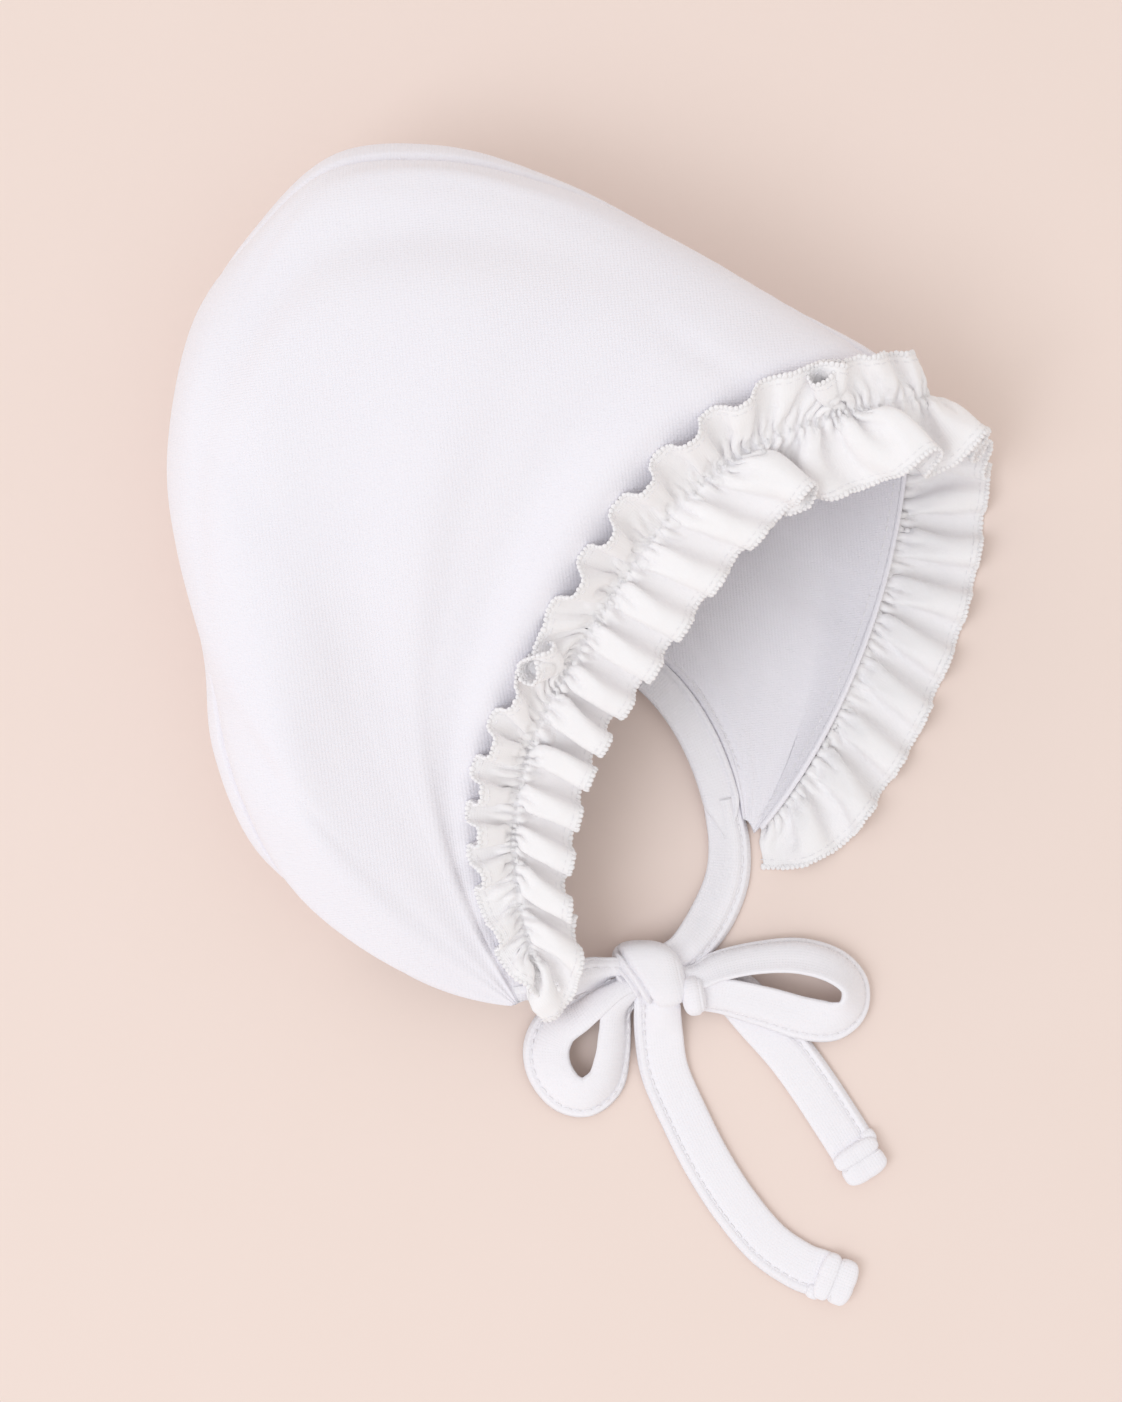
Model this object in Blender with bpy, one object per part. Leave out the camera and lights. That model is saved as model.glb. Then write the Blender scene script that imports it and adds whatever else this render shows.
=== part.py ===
"""Ruffled cotton nightcap for a baby, tied in a bow, lying on its far side.

The face opening looks towards -Y, the crown is at +X, the neck at -X, and the
cap rests on the plane z = 0.  Metres throughout.
"""
import math

import bmesh
import bpy
import numpy as np

# Cap: height from crown to neck, depth from face to back, thickness as it lies
CAP_HEIGHT = 0.190
CAP_DEPTH = 0.190
CAP_WIDTH = 0.072
# Doubled jersey of the shell, and the step down into a seam
CLOTH = 0.0020
SEAM_DIP = 0.0005
# Room left between pieces that touch
GAP = 0.0003
# Frills of the ruffle, from the gathering line to each free edge
FRONT_FRILL = 0.0195
BACK_FRILL = 0.0125
FRILL_CLOTH = 0.0012
FRILL_WAVE = 0.0044
FRILL_WAVES = 19
# Raised line inside the face edge
PIPING_RADIUS = 0.0009
# Band folded over the neck edge, which runs on as the ties
BINDING_WIDTH = 0.0095
BINDING_CLOTH = 0.0022
TIE_WIDTH = 0.0120
TIE_CLOTH = 0.0018
# Knot: across the bow, along the bow, thickness
KNOT_ACROSS = 0.0172
KNOT_ALONG = 0.0162
KNOT_HEIGHT = 0.0125
# Reach of each part of the bow from the middle of the knot
LEFT_LOOP_REACH = 0.0360
RIGHT_LOOP_REACH = 0.0560
LONG_TAIL_REACH = 0.0900
SHORT_TAIL_REACH = 0.0740
# Folded and tacked tail ends
FOLD_LENGTH = 0.0095
FOLD_CLOTH = 0.0044

# Corners of the shell where the ties are sewn on, and the middle of the knot: shares of
# the cap's height and depth, and of its width on the near side
CAP_SIZE = np.array((CAP_HEIGHT, CAP_DEPTH, CAP_WIDTH))
NEAR_JAW_FACE = CAP_SIZE * (-0.5974, -0.3526, 0.2778)
NEAR_JAW_NECK = CAP_SIZE * (-0.6316, -0.3263, 0.2847)
FAR_JAW = np.array((-0.2895 * CAP_HEIGHT, -0.4789 * CAP_DEPTH, 1.6 * CLOTH))
KNOT = np.array((-0.5016 * CAP_HEIGHT, -0.4668 * CAP_DEPTH, KNOT_HEIGHT / 2 + GAP))
BOW_TURN = math.radians(-57.7)

# Ribs of the shell, from the face edge over the back of the head to the neck edge.
# x, y, z: the rib's outermost point, as shares of the cap's height, depth and width.
# crest: rise of the near half over its own ends, as a share of the cap's width.
# bow: sideways bend of the near half, as a share of the cap's depth; power: its fullness.
# floor: height of the cloth's middle where the far half lies, in cloth thicknesses.
RIBS = (
    # place    x      y      z    crest   bow   power  floor
    (0.000,  0.306, -0.353, 0.53, 0.430, 0.210, 3.0, 2.60),
    (0.030,  0.316, -0.297, 0.58, 0.530, 0.222, 3.0, 1.90),
    (0.110,  0.312, -0.142, 0.62, 0.575, 0.222, 2.7, 0.50),
    (0.190,  0.306,  0.018, 0.62, 0.610, 0.200, 2.4, 0.50),
    (0.280,  0.291,  0.184, 0.58, 0.620, 0.174, 2.2, 0.50),
    (0.360,  0.246,  0.336, 0.56, 0.610, 0.147, 2.0, 0.50),
    (0.420,  0.177,  0.436, 0.53, 0.605, 0.121, 2.0, 0.50),
    (0.500,  0.030,  0.479, 0.53, 0.580, 0.100, 2.0, 0.50),
    (0.570, -0.098,  0.482, 0.53, 0.540, 0.084, 2.0, 0.50),
    (0.640, -0.236,  0.433, 0.53, 0.480, 0.068, 2.0, 0.50),
    (0.720, -0.349,  0.354, 0.51, 0.415, 0.058, 2.0, 0.50),
    (0.790, -0.455,  0.247, 0.49, 0.330, 0.047, 2.0, 0.50),
    (0.860, -0.553,  0.173, 0.42, 0.240, 0.037, 2.0, 0.50),
    (0.920, -0.627,  0.072, 0.38, 0.140, 0.032, 2.0, 0.70),
    (1.000, -0.652, -0.081, 0.35, 0.050, 0.023, 2.0, 1.30),
)
# Run of the far half of a rib over the floor, from the far corner to the outermost
# point: two guide points, as shares of the cap's height and depth.
FAR_RUNS = (
    # place  lead_x  lead_y  tail_x  tail_y
    (0.000, -0.105, -0.515,  0.150, -0.455),
    (0.110, -0.080, -0.485,  0.150, -0.370),
    (0.280, -0.040, -0.440,  0.120, -0.120),
    (0.500,  0.000, -0.370,  0.070,  0.080),
    (0.720,  0.010, -0.320, -0.010,  0.200),
    (0.880,  0.005, -0.280, -0.100,  0.170),
    (1.000,  0.000, -0.253, -0.147,  0.116),
)
# Seams between the panels, as angles round each rib from the near corner
SEAMS = (
    # place  near   far
    (0.000,  78.0, 106.0),
    (0.110,  80.0, 112.0),
    (0.280,  83.0, 122.0),
    (0.420,  87.0, 130.0),
    (0.570,  92.0, 134.0),
    (0.720,  86.0, 132.0),
    (0.860,  66.0, 130.0),
    (1.000,  58.0, 128.0),
)
# Soft folds of the near panel: middle, run and breadth in place and angle, depth as a
# share of the cap's width, negative inwards
FOLDS = (
    # place  angle  run_place run_angle breadth  depth
    (0.400,  62.0,    0.16,     -6.0,    0.085, -0.050),
    (0.660,  55.0,    0.03,     14.0,    0.080, -0.030),
    (0.175,  40.0,    0.02,     26.0,    0.050, -0.030),
    (0.300,  24.0,    0.16,      4.0,    0.100, -0.030),
    (0.560,  30.0,    0.20,      4.0,    0.110,  0.030),
)
# Ruffle round the face edge: each frill's width as a share of its full width, its
# waves as a share of the full wave, and the slope of the front frill
RUFFLE = (
    # place front  back  waves  slope
    (0.000, 0.75, 0.50, 0.40, -0.10),
    (0.080, 0.85, 0.98, 0.90, -0.15),
    (0.200, 1.00, 1.12, 1.00, -0.10),
    (0.300, 1.00, 1.28, 1.00, -0.10),
    (0.400, 1.00, 1.22, 1.00, -0.05),
    (0.500, 0.88, 0.95, 0.90, -0.35),
    (0.600, 1.02, 0.65, 0.65, -0.08),
    (0.800, 1.12, 0.50, 0.50,  0.02),
    (0.920, 1.00, 0.50, 0.45,  0.02),
    (1.000, 0.45, 0.30, 0.25,  0.00),
)
# Way the neck binding stands off the edge: across the opening, and down
BINDING_LEAN = (
    # place across  down
    (0.00,  0.30,  0.95),
    (0.20,  0.40,  0.90),
    (0.40,  1.00,  0.40),
    (0.55,  1.00,  0.00),
    (1.00,  1.00,  0.00),
)
# Bands of the bow.  u, v: across and along the bow from the knot, as shares of the
# band's reach; z: height in tie widths; bank: how far the band leans, in degrees;
# breadth: share of the tie width.
LEFT_LOOP = (
    # u      v      z     bank  breadth
    (-0.243, -0.097, 0.60, -64, 0.50),
    (-0.374, -0.170, 0.60, -60, 0.70),
    (-0.537, -0.291, 0.54, -48, 0.88),
    (-0.690, -0.395, 0.44, -28, 0.98),
    (-0.758, -0.545, 0.38, -18, 1.00),
    (-0.735, -0.714, 0.38, -20, 1.00),
    (-0.623, -0.860, 0.42, -28, 1.00),
    (-0.473, -0.890, 0.46, -36, 1.00),
    (-0.338, -0.787, 0.50, -44, 1.00),
    (-0.286, -0.606, 0.52, -50, 0.92),
    (-0.268, -0.430, 0.54, -56, 0.70),
    (-0.245, -0.262, 0.56, -62, 0.45),
)
RIGHT_LOOP = (
    (0.178, -0.020, 0.66, 40, 0.50),
    (0.290,  0.030, 0.66, 42, 0.70),
    (0.470,  0.066, 0.66, 42, 0.85),
    (0.660,  0.072, 0.68, 42, 0.95),
    (0.815,  0.026, 0.70, 48, 1.00),
    (0.905, -0.060, 0.70, 56, 1.00),
    (0.900, -0.165, 0.68, 50, 1.00),
    (0.810, -0.222, 0.60, 30, 1.00),
    (0.680, -0.212, 0.58, 22, 1.00),
    (0.510, -0.166, 0.60, 28, 0.90),
    (0.330, -0.120, 0.64, 34, 0.75),
    (0.186, -0.100, 0.68, 36, 0.50),
)
LONG_TAIL = (
    (0.010, -0.096, 0.56, 0, 0.95),
    (0.016, -0.180, 0.26, 0, 1.00),
    (0.034, -0.290, 0.12, 0, 1.00),
    (0.090, -0.420, 0.12, 0, 1.00),
    (0.155, -0.548, 0.12, 0, 1.00),
    (0.232, -0.668, 0.12, 0, 1.00),
    (0.322, -0.775, 0.12, 0, 1.00),
    (0.412, -0.838, 0.12, 0, 1.00),
    (0.468, -0.860, 0.12, 0, 1.00),
)
SHORT_TAIL = (
    (0.108, -0.094, 0.35, 30, 0.55),
    (0.180, -0.110, 0.26, 22, 0.80),
    (0.250, -0.138, 0.17, 8, 1.00),
    (0.358, -0.178, 0.12, 0, 1.00),
    (0.462, -0.285, 0.12, 0, 1.00),
    (0.545, -0.398, 0.12, 0, 1.00),
    (0.624, -0.518, 0.12, 0, 1.00),
    (0.680, -0.606, 0.12, 0, 1.00),
)
# Ties from the cap to the knot, in the cap's own directions: middle line as shares of
# the cap's height and depth, height in tie widths
NEAR_TIE = (
    # x       y      z     bank  breadth
    (-0.603, -0.349, 1.46, -18, 1.00),
    (-0.569, -0.381, 0.94, -30, 0.90),
    (-0.547, -0.402, 0.66, -50, 0.70),
    (-0.529, -0.420, 0.60, -72, 0.50),
)
FAR_TIE = (
    (-0.304, -0.461, 0.18,   0, 0.70),
    (-0.349, -0.485, 0.16,   0, 0.75),
    (-0.404, -0.494, 0.22,   8, 0.85),
    (-0.4525, -0.489, 0.42,  16, 0.75),
)

# Fineness of the surfaces
RIB_COUNT = 25
NEAR_STEPS = 21
CROWN_STEPS = 8
FAR_STEPS = 13
RUFFLE_STATIONS = 150
PIPING_STATIONS = 60
PIPING_SIDES = 6
BINDING_STATIONS = 34
LOOP_STATIONS = 30
TAIL_STATIONS = 22
TIE_STATIONS = 9
# Place by which most of the near corner's width is used up
JAW_TURN = 0.04
# Half angle at which the far half of a rib meets the floor, as its cosine
FLOOR_COSINE = 0.62
# Shares of a far run: where it stops short of the far corner, and where the corner's
# own height fades into the floor's
FAR_CORNER = 0.028
CORNER_SHARE = 0.30
# Place just behind the face edge, which gives the way off it
EDGE_STEP = 0.012
# Angles left free at the near corner, at the far end of the ruffle and of the binding
NEAR_END = math.radians(1.0)
RUFFLE_END = 0.050
BINDING_END = 0.006
# Unevenness of the ruffle's waves: drift of their spacing, then of their height
SPACING_DRIFT, SPACING_TURNS = 0.22, 3
HEIGHT_DRIFT, HEIGHT_TURNS = 0.20, 7
# Back frill: furthest place that it reaches, and the share of the edge past which it
# lies flat on the cloth
BACK_LIMIT = 0.045
FLAT_FROM = 0.55
# Fineness and fullness of the knot
KNOT_SIDES = 16
KNOT_ROWS = 8
KNOT_FULLNESS = 3
TINY = 1.0e-4


def blend(table, places):
    """Smooth columns of a table at the given places, first column being the place."""
    rows = np.array(table, float)
    spots = rows[:, 0]
    values = rows[:, 1:]
    slopes = np.gradient(values, spots, axis=0)
    places = np.clip(np.asarray(places, float), spots[0], spots[-1])
    index = np.clip(np.searchsorted(spots, places, side="right") - 1, 0, len(spots) - 2)
    step = spots[index + 1] - spots[index]
    share = ((places - spots[index]) / step)[..., None]
    step = step[..., None]
    start = (1 + 2 * share) * (1 - share) ** 2 * values[index]
    leave = share * (1 - share) ** 2 * step * slopes[index]
    end = share ** 2 * (3 - 2 * share) * values[index + 1]
    arrive = share ** 2 * (share - 1) * step * slopes[index + 1]
    return np.moveaxis(start + leave + end + arrive, -1, 0)


def unit(vectors):
    """Vectors brought to length one."""
    length = np.linalg.norm(vectors, axis=-1, keepdims=True)
    return vectors / np.maximum(length, 1e-12)


def near_half(place, angle):
    """Near half of the ribs: from the near corner up to the outermost line."""
    x, y, z, crest, bow, power, _ = blend(RIBS, place)
    turn = 0.8 * np.clip(place / JAW_TURN, 0, 1) + 0.2 * place
    jaw = NEAR_JAW_FACE + (NEAR_JAW_NECK - NEAR_JAW_FACE) * turn[..., None]
    outer = np.stack((x * CAP_HEIGHT, y * CAP_DEPTH, z * CAP_WIDTH), -1)
    share = np.sin(angle)
    chord = outer - jaw
    side = unit(np.stack((-chord[..., 1], chord[..., 0]), -1))
    swell = bow * CAP_DEPTH * (1 - np.abs(2 * share - 1) ** power)
    plan = jaw[..., :2] + chord[..., :2] * share[..., None] + side * swell[..., None]
    height = outer[..., 2] + (jaw[..., 2] - outer[..., 2]) * np.cos(angle)
    height = height + crest * CAP_WIDTH * np.sin(2 * angle)
    return np.concatenate((plan, height[..., None]), -1)


def far_half(place, angle):
    """Far half of the ribs: from the outermost line down and along the floor."""
    x, y, z, _, _, _, floor = blend(RIBS, place)
    lead_x, lead_y, tail_x, tail_y = blend(FAR_RUNS, place)
    outer = np.stack((x * CAP_HEIGHT, y * CAP_DEPTH), -1)
    lead = np.stack((lead_x * CAP_HEIGHT, lead_y * CAP_DEPTH), -1)
    tail = np.stack((tail_x * CAP_HEIGHT, tail_y * CAP_DEPTH), -1)
    share = np.sin(angle)[..., None]
    rest = 1 - share
    plan = rest ** 3 * FAR_JAW[:2] + 3 * rest ** 2 * share * lead
    plan = plan + 3 * rest * share ** 2 * tail + share ** 3 * outer
    low = np.maximum(floor, 0.5) * CLOTH
    corner = np.clip(np.sin(angle) / CORNER_SHARE, 0, 1)
    low = FAR_JAW[2] + (low - FAR_JAW[2]) * corner ** 2 * (3 - 2 * corner)
    lift = np.clip(1 + np.cos(angle) / FLOOR_COSINE, 0, 1) ** 2
    height = low + (z * CAP_WIDTH - low) * lift
    return np.concatenate((plan, height[..., None]), -1)


def fold_depth(place, angle):
    """Depth of the soft folds at a point of the shell, inwards negative."""
    depth = np.zeros_like(place)
    for middle, turn, run_place, run_angle, breadth, share in FOLDS:
        along = np.array((run_place, math.radians(run_angle)))
        across = unit(np.array((-along[1], along[0])))
        length = np.linalg.norm(along)
        offset = np.stack((place - middle, angle - math.radians(turn)), -1)
        down = offset @ along / length ** 2
        over = offset @ across / breadth
        depth = depth + share * CAP_WIDTH * np.exp(-over ** 2 - down ** 2)
    return depth


def middle_surface(place, angle):
    """Middle of the shell's cloth at shares of the way back and angles round."""
    near = near_half(place, np.minimum(angle, math.pi / 2))
    far = far_half(place, np.maximum(angle, math.pi / 2))
    return np.where((angle <= math.pi / 2)[..., None], near, far)


def plain_normal(place, angle):
    """Outward normal of the shell before its folds."""
    forward = middle_surface(place + TINY, angle) - middle_surface(place - TINY, angle)
    low = np.clip(angle - TINY * 10, 0.0, math.pi)
    high = np.clip(angle + TINY * 10, 0.0, math.pi)
    round_rib = middle_surface(place, high) - middle_surface(place, low)
    return unit(np.cross(round_rib, forward))


def shell_point(place, angle):
    """Middle of the shell's cloth with its soft folds."""
    depth = fold_depth(place, angle)[..., None]
    return middle_surface(place, angle) + plain_normal(place, angle) * depth


def shell_normal(place, angle):
    """Outward normal of the folded shell."""
    ahead = np.clip(place + TINY * 10, 0.0, 1.0)
    behind = np.clip(place - TINY * 10, 0.0, 1.0)
    forward = shell_point(ahead, angle) - shell_point(behind, angle)
    low = np.clip(angle - TINY * 10, 0.0, math.pi)
    high = np.clip(angle + TINY * 10, 0.0, math.pi)
    round_rib = shell_point(place, high) - shell_point(place, low)
    return unit(np.cross(round_rib, forward))


def even_shares(points, count):
    """Positions in a run of points, spaced evenly along its length."""
    steps = np.linalg.norm(np.diff(points, axis=0), axis=1)
    length = np.concatenate(((0.0,), np.cumsum(steps)))
    return np.interp(np.linspace(0, length[-1], count), length, np.arange(len(points)))


def edge_angles(place, first, last, count):
    """Angles spaced evenly along one rib's length."""
    fine = np.linspace(first, last, 721)
    points = middle_surface(np.full_like(fine, place), fine)
    return np.interp(even_shares(points, count), np.arange(len(fine)), fine)


def cloth_material(name, colour, roughness):
    """Matt textile material of one colour."""
    material = bpy.data.materials.new(name)
    material.use_nodes = True
    shader = material.node_tree.nodes["Principled BSDF"]
    shader.inputs["Base Color"].default_value = (*colour, 1.0)
    shader.inputs["Roughness"].default_value = roughness
    shader.inputs["Metallic"].default_value = 0.0
    material.diffuse_color = (*colour, 1.0)
    return material


def add_solid(name, vertices, faces, material):
    """One closed mesh object, its faces turned outwards and shaded smooth."""
    mesh = bpy.data.meshes.new(name)
    mesh.from_pydata([tuple(v) for v in vertices], [], faces)
    shaper = bmesh.new()
    shaper.from_mesh(mesh)
    bmesh.ops.recalc_face_normals(shaper, faces=shaper.faces)
    bmesh.ops.triangulate(shaper, faces=shaper.faces, quad_method="SHORT_EDGE")
    shaper.to_mesh(mesh)
    shaper.free()
    mesh.materials.append(material)
    mesh.shade_smooth()
    mesh.set_sharp_from_angle(angle=math.radians(50))
    piece = bpy.data.objects.new(name, mesh)
    bpy.context.scene.collection.objects.link(piece)
    return piece


def add_plate(name, outer, inner, material):
    """Sheet of cloth with a thickness, from its outer and its inner grid of points."""
    rows, columns = outer.shape[:2]
    vertices = np.concatenate((outer.reshape(-1, 3), inner.reshape(-1, 3)))
    shift = rows * columns
    faces = []
    for i in range(rows - 1):
        for j in range(columns - 1):
            a = i * columns + j
            faces.append((a, a + 1, a + columns + 1, a + columns))
            faces.append((shift + a, shift + a + columns, shift + a + columns + 1, shift + a + 1))
    rim = [j for j in range(columns)]
    rim += [i * columns + columns - 1 for i in range(1, rows)]
    rim += [(rows - 1) * columns + j for j in range(columns - 2, -1, -1)]
    rim += [i * columns for i in range(rows - 2, 0, -1)]
    for a, b in zip(rim, rim[1:] + rim[:1]):
        faces.append((a, shift + a, shift + b, b))
    return add_solid(name, vertices, faces, material)


def add_tube(name, rings, material):
    """Closed solid through a run of rings, with a flat cap at each end."""
    count, sides = rings.shape[:2]
    faces = []
    for i in range(count - 1):
        for j in range(sides):
            k = (j + 1) % sides
            faces.append((i * sides + j, i * sides + k, (i + 1) * sides + k, (i + 1) * sides + j))
    faces.append(tuple(range(sides)))
    faces.append(tuple((count - 1) * sides + j for j in range(sides)))
    return add_solid(name, rings.reshape(-1, 3), faces, material)


def panel(name, first, last, columns, material):
    """One panel of the shell between two angles, each a value for every rib."""
    places = np.concatenate(((0.0, 0.015), np.linspace(0.03, 1.0, RIB_COUNT - 2)))
    across = np.linspace(0, 1, columns)
    place = np.repeat(places[:, None], columns, 1)
    start = first(places)[:, None]
    angle = start + (last(places)[:, None] - start) * across[None, :]
    middle = shell_point(place, angle)
    normal = shell_normal(place, angle)
    half = np.full(place.shape, CLOTH / 2)
    dip = np.zeros_like(half)
    dip[:, (0, -1)] = SEAM_DIP
    outer = middle + normal * (half - dip)[..., None]
    inner = middle - normal * half[..., None]
    return add_plate(name, outer, inner, material)


def seam_angle(column, side):
    """Angle of a seam round the ribs, moved to one side by half the gap."""
    def angle(places):
        seam = np.radians(blend(SEAMS, places)[column])
        here = middle_surface(places, seam)
        beyond = middle_surface(places, seam + TINY * 10)
        speed = np.linalg.norm(beyond - here, axis=-1) / (TINY * 10)
        return seam + side * GAP / speed
    return angle


def corner_angle(value):
    """The same angle for every rib."""
    def angle(places):
        return np.full_like(places, value)
    return angle


def band_rings(middle, across, thick, breadth, depth):
    """Rings of a flat band with softened edges round a middle line."""
    corners = np.array(((-0.5, -0.25), (-0.44, -0.5), (0.44, -0.5), (0.5, -0.25),
                        (0.5, 0.25), (0.44, 0.5), (-0.44, 0.5), (-0.5, 0.25)))
    wide = corners[None, :, 0, None] * breadth[:, None, None] * across[:, None, :]
    high = corners[None, :, 1, None] * depth * thick[:, None, :]
    return middle[:, None, :] + wide + high


def band(name, points, bank, breadth, depth, count, material):
    """Flat band along a smooth run of points, leaning sideways by its bank."""
    spots = np.arange(len(points))
    table = np.column_stack((spots, points, bank, breadth))
    fine = np.array(blend(table, np.linspace(0, spots[-1], 400))).T
    shares = even_shares(fine[:, :3], count)
    rows = np.array([np.interp(shares, np.arange(400), fine[:, k]) for k in range(5)]).T
    middle = rows[:, :3]
    along = unit(np.gradient(middle, axis=0))
    side = unit(np.column_stack((along[:, 1], -along[:, 0], np.zeros(count))))
    lean = np.radians(rows[:, 3])[:, None]
    across = side * np.cos(lean) + np.array((0, 0, 1.0)) * np.sin(lean)
    across = unit(across - along * np.sum(across * along, 1)[:, None])
    thick = np.cross(along, across)
    rings = band_rings(middle, across, thick, rows[:, 4], depth)
    return add_tube(name, rings, material)


def bow_points(table, reach):
    """Points of a band of the bow in the cap's frame."""
    rows = np.array(table, float)
    turn = np.array(((math.cos(BOW_TURN), math.sin(BOW_TURN)),
                     (-math.sin(BOW_TURN), math.cos(BOW_TURN))))
    plan = KNOT[:2] + rows[:, :2] * reach @ turn
    return np.column_stack((plan, rows[:, 2] * TIE_WIDTH))


def bow_band(name, table, reach, count, material):
    """One band of the bow."""
    rows = np.array(table, float)
    points = bow_points(table, reach)
    return band(name, points, rows[:, 3], rows[:, 4] * TIE_WIDTH, TIE_CLOTH, count, material)


def cap_band(name, table, material):
    """One tie from a corner of the cap to the knot."""
    rows = np.array(table, float)
    points = rows[:, :3] * np.array((CAP_HEIGHT, CAP_DEPTH, TIE_WIDTH))
    return band(name, points, rows[:, 3], rows[:, 4] * TIE_WIDTH, TIE_CLOTH, TIE_STATIONS, material)


def add_ruffle(material):
    """Strip gathered along its middle round the face edge."""
    angle = edge_angles(0.0, NEAR_END, math.pi - RUFFLE_END, RUFFLE_STATIONS)
    edge_place = np.zeros_like(angle)
    edge = middle_surface(edge_place, angle)
    outward = plain_normal(edge_place + 0.001, angle)
    behind = edge - middle_surface(edge_place + EDGE_STEP, angle)
    away = unit(behind)
    front, back, waves, slope = blend(RUFFLE, angle / math.pi)
    level = unit(away * np.array((1, 1, 0)))
    lean = level * np.sqrt(1 - slope ** 2)[:, None] + np.array((0, 0, 1)) * slope[:, None]
    crossways = unit(outward - lean * np.sum(outward * lean, 1)[:, None])
    along = np.linspace(0, 1, RUFFLE_STATIONS)
    turns = 2 * math.pi * along
    phase = FRILL_WAVES * turns + 2 * math.pi * SPACING_DRIFT * np.sin(SPACING_TURNS * turns)
    wave = np.sin(phase) * (1 - HEIGHT_DRIFT + HEIGHT_DRIFT * np.sin(HEIGHT_TURNS * turns))
    base = edge + outward * (CLOTH / 2 + GAP * 2 + FRILL_CLOTH / 2)
    rows = []
    for reach in (1.0, 0.6, 0.25):
        fall = wave * waves * FRILL_WAVE * reach ** 0.8
        run = base + lean * (FRONT_FRILL * front * reach)[:, None]
        rows.append(run + crossways * fall[:, None])
    rows.append(base)
    pace = np.linalg.norm(behind, axis=1) / EDGE_STEP
    flat = CLOTH / 2 + GAP * 2 + FRILL_CLOTH / 2
    for reach in (0.4, 1.0):
        place = np.minimum(BACK_FRILL * back * reach / pace, BACK_LIMIT)
        over = plain_normal(place, angle)
        lift = (1 + wave) / 2 * back * waves * FRILL_WAVE * reach * 0.9
        stand = flat + np.where(angle > math.pi * FLAT_FROM, 0.0, lift)
        rows.append(shell_point(place, angle) + over * stand[:, None])
    sheet = np.array(rows)
    down = np.gradient(sheet, axis=0)
    run = np.gradient(sheet, axis=1)
    normal = unit(np.cross(run, down))
    sheet[..., 2] = np.maximum(sheet[..., 2], FRILL_CLOTH * 0.75)
    upper = sheet + normal * FRILL_CLOTH / 2
    lower = sheet - normal * FRILL_CLOTH / 2
    return add_plate("ruffle", upper, lower, material)


def add_piping(material):
    """Raised line along the face edge."""
    angle = edge_angles(0.0, NEAR_END, math.pi - RUFFLE_END, PIPING_STATIONS)
    place = np.zeros_like(angle)
    edge = middle_surface(place, angle)
    away = unit(edge - middle_surface(place + EDGE_STEP, angle))
    outward = plain_normal(place + 0.001, angle)
    centre = edge + away * (PIPING_RADIUS + GAP * 2.5) - outward * PIPING_RADIUS * 0.3
    rings = []
    for k in range(PIPING_SIDES):
        turn = 2 * math.pi * k / PIPING_SIDES
        spoke = away * math.cos(turn) + outward * math.sin(turn)
        rings.append(centre + spoke * PIPING_RADIUS)
    return add_tube("face_piping", np.moveaxis(np.array(rings), 0, 1), material)


def add_binding(material):
    """Folded band standing off the neck edge."""
    angle = edge_angles(1.0, NEAR_END, math.pi - BINDING_END, BINDING_STATIONS)
    place = np.ones_like(angle)
    edge = middle_surface(place, angle)
    across, down = blend(BINDING_LEAN, np.linspace(0, 1, BINDING_STATIONS))
    along = unit(np.gradient(edge, axis=0))
    inwards = unit(np.column_stack((along[:, 1], -along[:, 0], np.zeros(len(angle)))))
    lean = inwards * across[:, None] - np.array((0, 0, 1)) * down[:, None]
    lean = unit(lean - along * np.sum(lean * along, 1)[:, None])
    thick = np.cross(along, lean)
    facing = np.abs(np.sum(lean * plain_normal(place - 0.001, angle), 1))
    middle = edge + lean * (GAP * 2 + CLOTH / 2 * facing + BINDING_WIDTH / 2)[:, None]
    middle[:, 2] = np.maximum(middle[:, 2], BINDING_CLOTH / 2 + GAP)
    breadth = np.full(len(angle), BINDING_WIDTH)
    rings = band_rings(middle, lean, thick, breadth, BINDING_CLOTH)
    rings[..., 2] = np.maximum(rings[..., 2], GAP)
    return add_tube("neck_binding", rings, material)


def add_knot(material):
    """Band wrapped round the middle of the bow, as one soft lump."""
    rings = []
    for i in range(KNOT_ROWS):
        swing = math.pi * (i + 0.5) / KNOT_ROWS
        ring = []
        for j in range(KNOT_SIDES):
            turn = 2 * math.pi * j / KNOT_SIDES
            cosine, sine = math.cos(turn), math.sin(turn)
            rounding = abs(cosine) ** KNOT_FULLNESS + abs(sine) ** KNOT_FULLNESS
            corner = rounding ** (-1 / KNOT_FULLNESS)
            wide = math.sin(swing) ** 0.6
            u = math.copysign(abs(math.cos(swing)) ** 0.8, math.cos(swing)) * KNOT_ACROSS / 2
            v = cosine * corner * wide * KNOT_ALONG / 2
            z = sine * corner * wide * KNOT_HEIGHT / 2
            x = u * math.cos(BOW_TURN) - v * math.sin(BOW_TURN)
            y = u * math.sin(BOW_TURN) + v * math.cos(BOW_TURN)
            ring.append(KNOT + np.array((x, y, z)))
        rings.append(ring)
    return add_tube("bow_knot", np.array(rings), material)


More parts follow.
